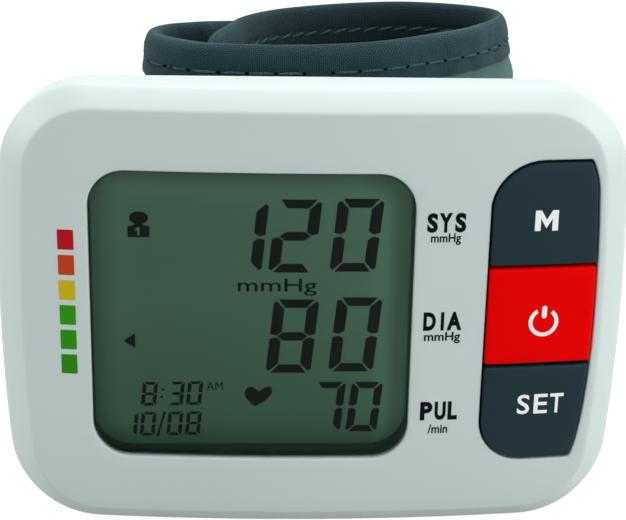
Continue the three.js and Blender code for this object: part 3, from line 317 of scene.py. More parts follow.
floor_mesh = bpy.data.meshes.new("floor")
edge = floor_size / 2
down = -floor_clearance * mm
corners = [(-edge, -edge, down), (edge, -edge, down), (edge, edge, down), (-edge, edge, down)]
floor_mesh.from_pydata(corners, [], [(0, 1, 2, 3)])
floor_mesh.materials.append(floor_finish())
floor = added("floor", floor_mesh)
floor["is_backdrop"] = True

world = bpy.data.worlds.new("studio")
world.use_nodes = True
world_tree = world.node_tree
background = world_tree.nodes["Background"]
direct = seen_directly(world_tree)
tint = mixed(world_tree, direct, world_tint, (1, 1, 1))
wire(world_tree, background, Color=tint, Strength=direct * (1 - world_light) + world_light)
bpy.context.scene.world = world
bpy.context.scene.view_settings.view_transform = "Standard"
print(f"floor {floor_size} m across, world light {world_light}")

# %% Lamps
lamps = {
    "overhead": {"spot": (40, 170, 520), "size": 420, "watts": 1.9},
    "front_left": {"spot": (-420, -480, 300), "size": 420, "watts": 0.08},
    "front_right": {"spot": (300, -330, 240), "size": 360, "watts": 0.88},
    "side_left": {"spot": (-520, 0, 240), "size": 300, "watts": 1.3},
    "side_right": {"spot": (520, -60, 220), "size": 300, "watts": 1.0},
}
look_at = place(0, half_width / 2, middle_z)
for name, lamp in lamps.items():
    light = bpy.data.lights.new(name, "AREA")
    light.shape = "SQUARE"
    light.size = lamp["size"] * mm
    light.energy = lamp["watts"]
    holder = added(name, light)
    holder.location = place(*lamp["spot"])
    holder.rotation_euler = (look_at - holder.location).to_track_quat("-Z", "Y").to_euler()
print(", ".join(lamps))

# %% [markdown]
# ## Mesh helpers
#
# Most hard pieces here are skins over rings of points: a ring is an outline at some depth, and
# two neighbouring rings are joined by a band of quads. Flat areas with openings are filled by a
# triangulation that keeps the outlines' edges.


# %% Outlines as lists of (x, z) in millimetres
def arc(centre_x, centre_z, radius, start, end, steps):
    """Points round an arc, its angles in degrees, without its last point."""
    turns = [math.radians(start + (end - start) * i / steps) for i in range(steps)]
    return [(centre_x + radius * math.cos(t), centre_z + radius * math.sin(t)) for t in turns]


def pairs(points):
    """Each point of a closed outline with the one after it."""
    return list(zip(points, points[1:] + points[:1]))


def threes(points):
    """Each point of a closed outline as a vector, between the ones before and after it."""
    vectors = [Vector(p) for p in points]
    return list(zip(vectors[-1:] + vectors[:-1], vectors, vectors[1:] + vectors[:1]))


def spread(points, spacing):
    """A closed outline with extra points, so that none of its steps is longer than spacing."""
    full = []
    for a, b in pairs(points):
        steps = max(1, math.ceil(math.dist(a, b) / spacing))
        for i in range(steps):
            share = i / steps
            full.append(tuple(p + (q - p) * share for p, q in zip(a, b)))
    return full


def rounded_rectangle(x, z, width, height, radius, steps=10):
    half_w, half_h = width / 2 - radius, height / 2 - radius
    corners = [(1, 1), (-1, 1), (-1, -1), (1, -1)]
    ends = [(0, 1), (-1, 0), (0, -1), (1, 0)]
    points = []
    for i, ((side, up), (end_x, end_z)) in enumerate(zip(corners, ends)):
        centre_x, centre_z = x + side * half_w, z + up * half_h
        points += arc(centre_x, centre_z, radius, 90 * i, 90 * (i + 1), steps)
        points.append((centre_x + radius * end_x, centre_z + radius * end_z))
    return points


def drawn_in(points, distance):
    """A closed outline that runs anticlockwise, moved inwards by a small distance."""
    moved = []
    for before, here, after in threes(points):
        into, out = here - before, after - here
        first, second = (Vector((-run.y, run.x)).normalized() for run in (into, out))
        inward = first + second
        moved.append(tuple(here + inward * (2 * distance / inward.length_squared)))
    return moved


def rounded_corners(points, radius, least_turn=40, steps=4):
    """An anticlockwise outline whose sharp corners become small arcs."""
    soft = []
    for point, (before, here, after) in zip(points, threes(points)):
        into, out = (here - before).normalized(), (after - here).normalized()
        turn = into.angle(out)
        if math.degrees(turn) < least_turn:
            soft.append(point)
            continue
        reach = radius * math.tan(turn / 2)
        start, end = here - into * reach, here + out * reach
        for i in range(steps + 1):
            share = i / steps
            soft.append(tuple(start.lerp(here, share).lerp(here.lerp(end, share), share)))
    return soft


def inside(points, outline):
    """Which of the points lie inside the outline."""
    xs, zs = np.array(points, float).T
    found = np.zeros(len(xs), bool)
    for (ax, az), (bx, bz) in pairs(outline):
        if az != bz:
            across = (az > zs) != (bz > zs)
            found ^= across & (xs < (bx - ax) * (zs - az) / (bz - az) + ax)
    return found


print("outline helpers ready")


# %% Skins and filled outlines, as (vertices, faces) in millimetres on the case
def lying(outline, depth_at):
    """An outline laid on the surface that depth_at gives, as a ring of places."""
    return [(x, depth_at(x), z) for x, z in outline]


def skin(rings, closed=True):
    """Bands of quads between neighbouring rings of equally many points."""
    count = len(rings[0])
    faces = []
    for level in range(len(rings) - 1):
        for i in range(count if closed else count - 1):
            a, b = level * count + i, level * count + (i + 1) % count
            faces.append((a, b, b + count, a + count))
    return [p for ring in rings for p in ring], faces


def filled(outer, holes, depth_at, spacing=1.6):
    """The area inside an outline and outside its holes, laid on the surface that depth_at gives."""
    points, edges = [], []
    for loop in (outer, *holes):
        first = len(points)
        count = len(loop)
        points += loop
        edges += [(first + i, first + (i + 1) % count) for i in range(count)]
    xs, zs = np.array(outer).T
    grid = [
        (x, z)
        for x in np.arange(xs.min() + spacing, xs.max(), spacing)
        for z in np.arange(zs.min() + spacing, zs.max(), spacing)
    ]
    near = np.array(points)
    clear = [g for g in grid if np.min(np.hypot(*(near - g).T)) > spacing * 0.45]
    keep = inside(clear, outer) if clear else []
    for hole in holes:
        keep &= ~inside(clear, hole)
    points += [p for p, kept in zip(clear, keep) if kept]
    found = delaunay_2d_cdt([Vector(p) for p in points], edges, [], 1, 1e-6)
    flat_points = [(v.x, v.y) for v in found[0]]
    middles = [tuple(np.mean([flat_points[i] for i in face], axis=0)) for face in found[2]]
    keep = inside(middles, outer)
    for hole in holes:
        keep &= ~inside(middles, hole)
    faces = [tuple(face) for face, kept in zip(found[2], keep) if kept]
    return lying(flat_points, depth_at), faces


def bulk(parts):
    """Several (vertices, faces) as one."""
    vertices, faces = [], []
    for more_vertices, more_faces in parts:
        first = len(vertices)
        vertices += more_vertices
        faces += [tuple(first + i for i in face) for face in more_faces]
    return vertices, faces


print("skins ready")

# %% [markdown]
# Parts whose edges meet are welded, so a smooth surface runs over all of them. A finished piece
# is smooth but for its sharp edges, and it has its material and, where one is given, its body.

# %% From parts to a piece
weld = 0.004


def mesh_of(name, parts):
    """A mesh in the frame from (vertices, faces) on the case."""
    vertices, faces = bulk(parts)
    mesh = bpy.data.meshes.new(name)
    mesh.from_pydata([place(*v) for v in vertices], [], faces)
    return mesh


def opened(mesh):
    """A mesh opened for work on its vertices and faces."""
    work = bmesh.new()
    work.from_mesh(mesh)
    return work


def written(work, mesh):
    """The mesh after that work."""
    work.to_mesh(mesh)
    work.free()
    return mesh


def join_up(work):
    """Welds parts where they meet and turns all faces outwards."""
    bmesh.ops.remove_doubles(work, verts=work.verts, dist=weld * mm)
    bmesh.ops.recalc_face_normals(work, faces=work.faces)


def evaluated(made):
    """An object as its modifiers make it."""
    return made.evaluated_get(bpy.context.evaluated_depsgraph_get())


def build(name, parts, finish, body, slot, sharp=35):
    """A piece from parts that are welded where they meet."""
    mesh = mesh_of(name, parts)
    work = opened(mesh)
    join_up(work)
    loose = [v for v in work.verts if not v.link_faces]
    bmesh.ops.delete(work, geom=loose, context="VERTS")
    return finished(name, written(work, mesh), finish, body, slot, sharp)


def finished(name, mesh, finish, body, slot, sharp=35):
    """A piece from its mesh. Without a body it is left for its caller to bind."""
    mesh.polygons.foreach_set("use_smooth", [True] * len(mesh.polygons))
    mesh.set_sharp_from_angle(angle=math.radians(sharp))
    mesh.materials.clear()
    mesh.materials.append(finish)
    made = added(name, mesh)
    if body:
        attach(made, body)
    return made


def tell(*pieces):
    """Prints how many faces each piece has."""
    for piece in pieces:
        print(f"{piece.name}: {len(piece.data.polygons)} faces")


print("mesh helpers ready")

# %% [markdown]
# ## Plastics
#
# The case is a satin moulding: pale, slightly green grey, with a fine spark-eroded grain that
# softens its gloss. Real mouldings aren't quite even, so the colour drifts by a percent or two
# and the gloss varies a little. Printed ink and other matt layers have no grain.


# %% Moulded plastic
def moulded(name, colour, roughness, grain=0.25, depth=0.006, drift=0.03, **constants):
    """Satin plastic: a slow drift of tone, a fine grain in the bump, and uneven gloss."""
    made, tree, shader = material(name, IOR=1.49, **constants)
    slow = noise(tree, 22, detail=2)
    fine = noise(tree, grain, detail=3, roughness=0.6)
    darker = tuple(c * (1 - drift) for c in colour)
    lighter = tuple(min(1, c * (1 + drift)) for c in colour)
    uneven = fine * 0.1 + (roughness - 0.05) + slow * 0.04
    wire(tree, shader, Base_Color=mixed(tree, slow, darker, lighter), Roughness=uneven)
    bump(tree, shader, fine, 0.5, depth)
    return made


def ink(name, colour, roughness=0.6, gloss=0):
    """A matt layer of one colour, without grain."""
    return moulded(name, screen(*colour), roughness, depth=0, Specular_IOR_Level=gloss)


case_plastic = moulded("case_plastic", screen(204, 216, 214), 0.42)
rear_plastic = moulded("rear_plastic", screen(199, 212, 210), 0.46, grain=0.35, depth=0.01)
key_dark = moulded("key_dark", screen(8, 39, 47), 0.5, depth=0.004, Specular_IOR_Level=0.2)
key_bright = moulded(
    "key_bright", screen(245, 0, 0), 0.5, depth=0.003, drift=0.01, Specular_IOR_Level=0.03
)
gap_black = moulded("gap_black", screen(16, 22, 26), 0.6)
print("plastics:", case_plastic.name, rear_plastic.name, key_dark.name, key_bright.name)

# %% [markdown]
# ## Front cover
#
# The face is a shallow arch from left to right with a soft bevel all round and straight skirts.
# It has two openings: a rounded one for the display and one for the column of keys. A skin over
# rings of the outline gives the bevel and its rounded edges, and the flat middle is filled
# between the innermost ring and the rims of the openings, on the same arch.

# %% Sizes of the case
corner_radius = 12
side_bow = 256
crown_radius = 270
bevel_side, bevel_end, bevel_depth = 3.4, 2.6, 3
wall = 1.6
parting_depth = 10.4


def crown_at(x):
    return crown_radius - math.sqrt(crown_radius**2 - x**2)


def behind(depth):
    """The arched surface at a depth behind the face."""
    return lambda x: crown_at(x) + depth


def flat_at(depth):
    """A flat surface at a depth."""
    return lambda x: depth


def case_outline(inset_side, inset_end, side_steps=12, corner_steps=16, end_steps=20):
    """The case's outline seen from the front, drawn in by the insets, anticlockwise."""
    half_w = half_width - inset_side
    half_h = middle_z - inset_end
    radius = corner_radius - (inset_side + inset_end) / 2
    bow = side_bow - inset_side
    turn = math.asin((half_h - radius) / (bow - radius))
    bow_x = half_w - bow
    corner_x = bow_x + (bow - radius) * math.cos(turn)
    quarter = []
    for i in range(side_steps):
        angle = turn * i / side_steps
        quarter.append((bow_x + bow * math.cos(angle), bow * math.sin(angle)))
    for i in range(corner_steps + 1):
        angle = turn + (math.pi / 2 - turn) * i / corner_steps
        height = half_h - radius + radius * math.sin(angle)
        quarter.append((corner_x + radius * math.cos(angle), height))
    for i in range(1, end_steps + 1):
        quarter.append((corner_x * (1 - i / end_steps), half_h))
    upper = quarter + [(-x, z) for x, z in quarter[-2::-1]]
    lower = [(x, -z) for x, z in upper[-2:0:-1]]
    return [(x, z + middle_z) for x, z in upper + lower]


def case_ring(inset_side, inset_end, depth_at):
    return lying(case_outline(inset_side, inset_end), depth_at)


print(f"outline of {len(case_outline(0, 0))} points")

# %% Openings in the face
window_left, window_right = -29.55, 12.75
window_base, window_top = 10.72, 50.5
window_radius = 4.9
window_x, window_z = (window_left + window_right) / 2, (window_base + window_top) / 2
window_width, window_height = window_right - window_left, window_top - window_base

key_left = 22.45
key_inset = 4.5
key_base, key_top = 9.9, 52.1
key_left_radii = {"base": 6, "top": 6.85}
key_side_turns = {"base": (1.3, 16, 0.2), "top": (0.9, 4.2, 0.55)}
key_corner = 0.45
key_gap = 0.28


def window_outline(grow=0, corner_steps=10, side_steps=24):
    """The window anticlockwise, with points all along its sides, so that they follow the arch."""
    width, height = window_width + 2 * grow, window_height + 2 * grow
    corners = rounded_rectangle(
        window_x, window_z, width, height, window_radius + grow, corner_steps
    )
    points = []
    for i, (here, after) in enumerate(pairs(corners)):
        points.append(here)
        if i % (corner_steps + 1) == corner_steps:
            start, end = Vector(here), Vector(after)
            points += [tuple(start.lerp(end, k / side_steps)) for k in range(1, side_steps)]
    return points


def key_column(steps=10):
    """The column of keys, anticlockwise: its right side follows the bowed side of the case.

    Near both ends the right side bends in a little, and meets the end in a small corner.
    """
    left, base, top = key_left, key_base, key_top
    bow = side_bow - key_inset
    low_radius, high_radius = key_left_radii["base"], key_left_radii["top"]

    def side(z):
        return half_width - side_bow + math.sqrt(bow**2 - (z - middle_z) ** 2)

    def bend(level, end, direction):
        shift, reach, turn_share = key_side_turns[end]
        far = Vector((side(level) - shift, level))
        turn_level = level - direction * reach * turn_share
        turn = Vector((side(turn_level), turn_level))
        near = Vector((side(level - direction * reach), level - direction * reach))
        return [
            tuple(near.lerp(turn, i / steps).lerp(turn.lerp(far, i / steps), i / steps))
            for i in range(steps + 1)
        ]

    points = bend(base, "base", -1)[::-1]
    low, high = base + key_side_turns["base"][1], top - key_side_turns["top"][1]
    points += [(side(z), z) for z in np.linspace(low, high, 2 * steps)[1:-1]]
    points += bend(top, "top", 1)
    points += arc(left + high_radius, top - high_radius, high_radius, 90, 180, steps)
    points += arc(left + low_radius, base + low_radius, low_radius, 180, 270, steps)
    points.append((left + low_radius, base))
    return spread(rounded_corners(points, key_corner), 2.5)


def key_outline(grow=0):
    return drawn_in(key_column(), -grow) if grow else key_column()


print(f"window {window_width:.1f} x {window_height:.1f} mm, keys {key_top - key_base:.1f} mm high")

# %% The cover's skin
face_edge_share = -0.14
bevel_profile = [
    (face_edge_share, 0), (-0.07, 0.02), (0, 0.1), (0.07, 0.27), (0.25, 0.74), (0.5, 1.46),
    (0.75, 2.22), (0.88, 2.66), (0.95, 2.96), (0.985, 3.24), (1, 3.6),
]
rim_profile = [(0.3, 0), (0.14, 0.03), (0.04, 0.12), (0, 0.3), (0, wall)]


def bevel_rings():
    return [
        case_ring(bevel_side * (1 - share), bevel_end * (1 - share), behind(depth))
        for share, depth in bevel_profile
    ]


def skirt_rings():
    cut, round_off = 0.3, 0.08
    return [
        case_ring(0, 0, behind(bevel_profile[-1][1])),
        case_ring(0, 0, flat_at(parting_depth - cut)),
        case_ring(round_off, round_off, flat_at(parting_depth - round_off)),
        case_ring(cut, cut, flat_at(parting_depth)),
        case_ring(wall, wall, flat_at(parting_depth)),
        case_ring(wall, wall, behind(bevel_depth + wall / 2)),
        case_ring(bevel_side + wall / 2, bevel_end + wall / 2, behind(wall)),
    ]


def rim_rings(outline):
    """The rounded rim of an opening, from the face down through the wall."""
    return [lying(outline(grow), behind(depth)) for grow, depth in rim_profile]


def front_cover():
    edge = bevel_side * (1 - face_edge_share), bevel_end * (1 - face_edge_share)
    inner = bevel_side + wall / 2, bevel_end + wall / 2
    first = rim_profile[0][0]

    parts = [
        filled(case_outline(*edge), [window_outline(first), key_outline(first)], crown_at),
        skin(bevel_rings()),
        skin(skirt_rings()),
        skin(rim_rings(window_outline)),
        skin(rim_rings(key_outline)),
        filled(case_outline(*inner), [window_outline(), key_outline()], behind(wall)),
    ]
    return build("cover_front", parts, case_plastic, "case", "shell_white", sharp=50)


cover = front_cover()
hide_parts("front_cover")
tell(cover)

# %% [markdown]
# ## Keys
#
# The three keys are cut from one rounded column, with thin gaps between them. Each is a cap with
# softly rounded edges that stands a little proud of the arched face. Every cap rides on the body
# of its key, so it sinks in when that key is pressed.

# %% Key caps
key_split = 0.45
power_base, power_top = 24.15, 37.55
key_proud = 0.3
key_skirt = 1.5
key_spans = {
    "set_key": (0, power_base - key_split),
    "power_key": (power_base, power_top),
    "memory_key": (power_top + key_split, body_height),
}
cap_profile = [(0.34, 0), (0.2, 0.03), (0.08, 0.11), (0, 0.28), (0, 0.9)]
cap_corner = 0.4


def between(outline, base, top, clear=0.7):
    """The part of an outline between two heights, with room left beside its new corners."""
    kept = []
    for (ax, az), (bx, bz) in pairs(outline):
        if base + clear < az < top - clear:
            kept.append((ax, az))
        crossed = [level for level in (base, top) if (az - level) * (bz - level) < 0]
        for level in sorted(crossed, reverse=bool(az > bz)):
            kept.append((ax + (bx - ax) * (level - az) / (bz - az), level))
    return kept


def key_cap(name, base, top, finish, slot):
    column = between(key_outline(-key_gap), base, top)
    outline = spread(rounded_corners(column, cap_corner), 1.2)

    def ring(inset, depth):
        return lying(drawn_in(outline, inset) if inset else outline, behind(depth - key_proud))

    rings = [ring(inset, depth) for inset, depth in cap_profile]
    rings.append(ring(0, key_skirt + key_proud))
    inner = [(x, z) for x, _, z in rings[0]]
    parts = [
        filled(inner, [], behind(-key_proud)), skin(rings), filled(outline, [], behind(key_skirt)),
    ]
    cap = build(f"{name}_cap", parts, finish, name, slot, sharp=50)
    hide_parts(name)
    return cap


for name, (base, top) in key_spans.items():
    bright = name == "power_key"
    finish, slot = (key_bright, "key_red") if bright else (key_dark, "key_blue")
    cap = key_cap(name, base, top, finish, slot)
    tell(cap)

# %% [markdown]
# Behind the caps a dark liner closes the gaps round them, as the rubber seal does in the real
# case, so no light leaks through. It lies deep enough for the caps to be pressed, and the stems
# of the caps reach through its slot.

# %% Dark seal behind the keys
seal_depth = key_skirt + 0.75
seal_grow = 1.1
slot_x, slot_width, slot_height, slot_corner = 29, 5, 30, 2


def key_seal():
    stem_slot = rounded_rectangle(slot_x, middle_z, slot_width, slot_height, slot_corner)
    front = filled(key_outline(seal_grow), [stem_slot], behind(seal_depth))
    return build("key_seal", [front], gap_black, "case", "dark_plastic")


seal = key_seal()
tell(seal)

# %% [markdown]
# ## Display
#
# A clear panel follows the arch of the face. Behind it a dark frame lines the view down to the
# flat display glass, which lies about 5 mm deep: seen from above, the frame's lower wall shows as
# a dark band under the figures. The panel is modelled as a closed sheet. It is see-through by its
# alpha, and Fresnel makes it more mirror-like at a glancing view.

# %% Display panel, frame and glass
window_drop = 0.4
panel_gap = 0.3
panel_profile = [(0.5, 0), (0.2, 0.05), (0.05, 0.15), (0, 0.32), (0, 1.5)]
glass_front = (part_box("display_glass")[0].y - cover_low.y) / mm
panel_index = 1.49
mirror_share, least_share = 1.2, 0.03
# Painted light on the display glass: where it starts to turn paler towards the right and the left,
# and over what reach.
painted_light_from_right, painted_light_from_left = (7.8, 4.6), (-26.7, -7)
deep_share = 1 / 1.9
mottle_share = 0.25


def clear_finish():
    made, tree, shader = material(
        "clear_panel", IOR=panel_index, Roughness=0.07, Base_Color=screen(40, 54, 50)
    )
    glance = node(tree, "ShaderNodeFresnel", IOR=panel_index)
    wire(tree, shader, Alpha=(glance * mirror_share + least_share).clamped())
    return made


def crystal_finish():
    """The display's reflecting layer: grey-green, deeper lower down, paler at the sides by painted
    light.
    """
    made, tree, shader = material("liquid_crystal", Roughness=0.6, Specular_IOR_Level=0)
    across, height = parts_of(objects_space(tree), (0, 2))
    share = ((height - window_base * mm) / (window_height * deep_share * mm)).clamped()
    tone = mixed(tree, share, screen(101, 153, 121), screen(132, 183, 152))
    # Painted light: the tone turns paler towards both sides, against the shade of the frame's
    # walls.
    right_painted_light, left_painted_light = (
        ((across - start * mm) / (reach * mm)).clamped()
        for start, reach in (painted_light_from_right, painted_light_from_left)
    )
    tone = mixed(tree, right_painted_light + left_painted_light, tone, screen(162, 224, 188))
    mottle = noise(tree, 9, detail=2) * mottle_share
    wire(tree, shader, Base_Color=mixed(tree, mottle, tone, screen(112, 166, 132)))
    return made


def display_panel():
    rings = [
        lying(window_outline(-panel_gap - inset), behind(window_drop + depth))
        for inset, depth in panel_profile
    ]
    front = window_outline(-panel_gap - panel_profile[0][0])
    back = behind(window_drop + panel_profile[-1][1])
    parts = [
        filled(front, [], behind(window_drop)),
        skin(rings),
        filled(window_outline(-panel_gap), [], back),
    ]
    return build("display_panel", parts, clear_finish(), "case", "clear_panel", sharp=50)


def display_lining():
    """The frame behind the panel: a flange, the wall round the view, and a foot on the glass."""
    flange, foot, room, round_off = 1.7, 0.6, 0.1, 0.25
    course = [
        (flange, behind(wall + room)), (round_off, behind(wall + room)),
        (0, behind(wall + round_off)), (0, flat_at(glass_front - room)),
        (foot, flat_at(glass_front - room)),
    ]
    rings = [lying(window_outline(grow), depth_at) for grow, depth_at in course]
    finish = moulded("lining_dark", screen(72, 112, 98), 0.5, depth=0)
    return build("display_lining", [skin(rings)], finish, "case", "dark_plastic")


panel = display_panel()
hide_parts("display_window")
lining = display_lining()
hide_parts("display_frame")
crystal = crystal_finish()
glass_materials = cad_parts["display_glass"].data.materials
glass_materials.clear()
glass_materials.append(crystal)
print(f"display glass {glass_front:.1f} mm behind the crown")

# %% [markdown]
# ## Figures on the display
#
# The dark figures are seven-segment digits: seven thin shapes with mitred ends, of which each
# digit shows its own set, leaning a little to the right. They lie as a thin dark layer just in
# front of the display glass. A reading, a time, a date and a few plain symbols are shown.

# %% Segments
figure_depth = glass_front - 0.06
number_rise = 0.02
unit_weight = 0.006
lean = 0.1
segment_sets = {
    "0": "abcdef", "1": "bc", "2": "abged", "3": "abgcd", "7": "abc", "8": "abcdefg",
}


def segments(width, height, upright, level, gap):
    """The seven segments of one digit from its lower left corner, a at the top, then clockwise."""
    half = height / 2
    cut_in = upright * 0.42
    top = [
        (cut_in, height), (width - cut_in, height),
        (width - upright - gap * 0.4, height - level), (upright + gap * 0.4, height - level),
    ]
    side = [
        (width - cut_in + gap * 1.2, height - level * 0.22), (width, height - level * 0.45),
        (width, half + level * 0.3), (width - upright * 0.55, half + gap * 0.6),
        (width - upright, half + level * 0.5), (width - upright, height - level - gap * 0.8),
    ]
    middle = [
        (upright * 0.62, half), (upright + gap, half + level / 2),
        (width - upright - gap, half + level / 2), (width - upright * 0.62, half),
        (width - upright - gap, half - level / 2), (upright + gap, half - level / 2),
    ]

    def mirrored(points, across=False, down=False):
        return [(width - x if across else x, height - z if down else z) for x, z in points]

    return {
        "a": top, "b": side, "c": mirrored(side, down=True), "d": mirrored(top, down=True),
        "e": mirrored(side, True, True), "f": mirrored(side, True), "g": middle,
    }


def digit(text, left, base, width, height, upright, level, gap):
    """The shapes of one digit. Its place is that of its upper left corner, and its own base."""
    shapes = []
    for name in segment_sets[text]:
        points = segments(width, height, upright, level, gap)[name]
        shapes.append([(left + x + (z - height) * lean, base + z) for x, z in points])
    return shapes


large = {"width": 6.1, "upright": 1.55, "level": 1.22, "gap": 0.2}
medium = {"width": 4.3, "height": 7.4, "upright": 1.1, "level": 0.95, "gap": 0.17}
small = {"width": 2.05, "height": 3.5, "upright": 0.52, "level": 0.42, "gap": 0.13}
digits = [
    ("1", -12.2, 35.65, {**large, "height": 9.7}), ("2", -5.2, 35.6, {**large, "height": 10.1}),
    ("0", 2.98, 35.75, {**large, "height": 10.1}),
    ("8", -5.34, 21.2, {**large, "height": 10.6}), ("0", 3.15, 21.4, {**large, "height": 10.7}),
    ("7", 0.35, 12.45, medium), ("0", 5.4, 12.45, medium),
    ("8", -23, 16.35, small), ("3", -19.35, 16.4, small), ("0", -16.87, 16.45, small),
    ("1", -25.7, 11.9, small), ("0", -23.25, 11.9, small), ("0", -19.6, 11.95, small),
    ("8", -17.07, 12, small),
]
figures = [shape for text, left, base, size in digits for shape in digit(text, left, base, **size)]
print(f"{len(digits)} digits from {len(figures)} segments")

# %% Symbols beside the digits
def oval(x, z, half_w, half_h, steps=24):
    return [(x + half_w * u, z + half_h * v) for u, v in arc(0, 0, 1, 0, 360, steps)]


def heart(x, z, width, height, steps=30):
    """A heart with its point down, leaning like the digits."""
    points = []
    for i in range(steps):
        t = 2 * math.pi * i / steps
        across = math.sin(t) * abs(math.sin(t)) ** 0.8
        up = (13 * math.cos(t) - 5 * math.cos(2 * t) - 2 * math.cos(3 * t) - math.cos(4 * t)) / 15.5
        points.append((x + across * width / 2 + up * height / 2 * lean * 2, z + up * height / 2))
    return points[::-1]


def person(x, z):
    """A head and shoulders, which stands for whose reading it is."""
    shoulders = [
        (x - 1.47, z - 1.55), (x + 1.4, z - 1.55), (x + 1.4, z), (x + 0.95, z + 0.06),
        (x - 0.95, z + 0.06), (x - 1.47, z - 0.06),
    ]
    neck = [(x - 0.62, z), (x + 0.62, z), (x + 0.5, z + 0.6), (x - 0.5, z + 0.6)]
    return [oval(x + 0.03, z + 1.1, 1.25, 0.88), neck, shoulders]


person_x, person_z = -23.22, 42.0
colon = [(-20.28, 18.72), (-20.5, 17.62)]
slash = [(-21.3, 11.8), (-20.95, 11.8), (-19.95, 15.45), (-20.3, 15.45)]
pointer = [(-25.55, 25.86), (-23.95, 24.8), (-23.95, 26.92)]
figures += [oval(x, z, 0.2, 0.17, 12) for x, z in colon]
figures += [slash, pointer, heart(-7.42, 17.95, 3.73, 3.15), *person(person_x, person_z)]


def flat_shapes(shapes, depth_at):
    """Outlines as faces, laid on the surface that depth_at gives."""
    vertices, faces = [], []
    for shape in shapes:
        first = len(vertices)
        vertices += lying(shape, depth_at)
        faces.append(tuple(range(first, len(vertices))))
    return vertices, faces


def printed(name, parts, finish, body, slot):
    """A print, as one object of flat faces that look forwards."""
    mesh = mesh_of(name, parts)
    work = opened(mesh)
    bmesh.ops.triangulate(work, faces=[f for f in work.faces if len(f.verts) > 4])
    for face in work.faces:
        face.normal_update()
        if face.normal.y > 0:
            face.normal_flip()
    return finished(name, written(work, mesh), finish, body, slot)


def lettering(text, box, depth_at, weight=0.0):
    """Words as flat shapes that fill a box (left, base, right, top) on a surface."""
    curve = bpy.data.curves.new("lettering", "FONT")
    curve.body = text
    curve.offset = weight
    curve.resolution_u = 4
    holder = added("lettering", curve)
    bpy.context.view_layer.update()
    mesh = holder.to_mesh()
    points = np.array([tuple(v.co)[:2] for v in mesh.vertices])
    faces = [tuple(p.vertices) for p in mesh.polygons]
    holder.to_mesh_clear()
    bpy.data.objects.remove(holder)
    low, high = points.min(axis=0), points.max(axis=0)
    left, base, right, top = box
    shares = (points - low) / (high - low)
    flat = [(left + (right - left) * u, base + (top - base) * v) for u, v in shares]
    return lying(flat, depth_at), faces


figure_layer = flat_at(figure_depth)
figure_finish = ink("figure_dark", (24, 34, 27))
unit = lettering("mmHg", (-10.2, 32.32, 0.35, 34.75), figure_layer, unit_weight)
morning = lettering("AM", (-14.4, 18.6, -12.2, 19.85), figure_layer)
shown = printed(
    "display_figures", [flat_shapes(figures, figure_layer), unit, morning],
    figure_finish, "case", "display_green",
)
number_finish = ink("number_pale", (150, 180, 165))
one = [(0.4, 0), (0.75, 0), (0.75, 1), (0.5, 1), (0, 0.78), (0, 0.55), (0.4, 0.66)]
one_left, one_base = person_x - 0.45, person_z - 1.28
one_width, one_height = 0.75, 1.1
one_shape = [(one_left + one_width * x, one_base + one_height * z) for x, z in one]
number = flat_shapes([one_shape], flat_at(figure_depth - number_rise))
shown_number = printed("display_number", [number], number_finish, "case", "display_green")
tell(shown, shown_number)

# %% [markdown]
# ## Prints on the face and the keys
#
# The face carries plain words for the three readings and their units, and six colour blocks that
# tell from red to green how high a reading is. The keys carry white legends. All are printed ink:
# thin layers that follow the arch of the surface. The maker's place above the display is left
# bare, as a smooth part of the face.

# %% Words and colour blocks
ink_rise = 0.025
reading_weight, face_unit_weight, key_word_weight = 0.05, 0.022, 0.016
on_face = behind(-ink_rise)
on_key = behind(-key_proud - ink_rise)


def spelled(word, base, top, spans, depth_at, weight):
    """A word letter by letter, each between its own left and right."""
    boxes = [(left, base, right, top) for left, right in spans]
    return [lettering(letter, box, depth_at, weight) for letter, box in zip(word, boxes)]


readings = [
    ("SYS", 42.7, 45.35, [(14.18, 15.59), (15.75, 17.49), (17.84, 19.3)]),
    ("DIA", 29.15, 31.75, [(14.23, 15.9), (16.55, 17.0), (17.35, 19.36)]),
    ("PUL", 16.25, 18.95, [(14.32, 15.98), (16.29, 17.8), (18.08, 19.37)]),
]
units = [
    ("mmHg", (14.75, 41.0, 18.7, 42.6)), ("mmHg", (14.4, 27.3, 19.25, 28.95)),
    ("/min", (15.45, 14.3, 18.15, 15.65)),
]
word_parts = []
for reading in readings:
    word_parts += spelled(*reading, on_face, reading_weight)
word_parts += [lettering(text, box, on_face, face_unit_weight) for text, box in units]
word_ink = ink("word_ink", (3, 14, 18), 0.5, 0.05)
label = printed("face_words", word_parts, word_ink, "case", "shell_white")
tell(label)

block_left, block_right, block_corner = -33.5, -31.38, 0.12
block_height = 2.72
block_pitch = 3.455
top_block = 42.44
block_colours = [
    (190, 15, 25), (204, 66, 24), (212, 184, 20), (50, 150, 10), (44, 146, 8), (40, 140, 6),
]
for i, colour in enumerate(block_colours):
    top = top_block - i * block_pitch
    base = top - block_height
    shape = rounded_rectangle(
        (block_left + block_right) / 2, (base + top) / 2,
        block_right - block_left, block_height, block_corner, 3,
    )
    level_ink = ink(f"level_ink_{i + 1}", colour, 0.45, 0.1)
    block = flat_shapes([shape], on_face)
    printed(f"level_block_{i + 1}", [block], level_ink, "case", "shell_white")
print(f"{len(block_colours)} blocks")

# %% Legends on the keys
ring_x, ring_z = 30.4, 30.05
ring_radius = 1.77
ring_stroke = 0.53
ring_gap = 30
bar_x = ring_x + 0.05
bar_base, bar_top = 0.5, 2.3
bar_half, bar_corner = 0.33, 0.34

white_ink = moulded("white_ink", (0.96, 0.96, 0.95), 0.45, depth=0, drift=0.01)


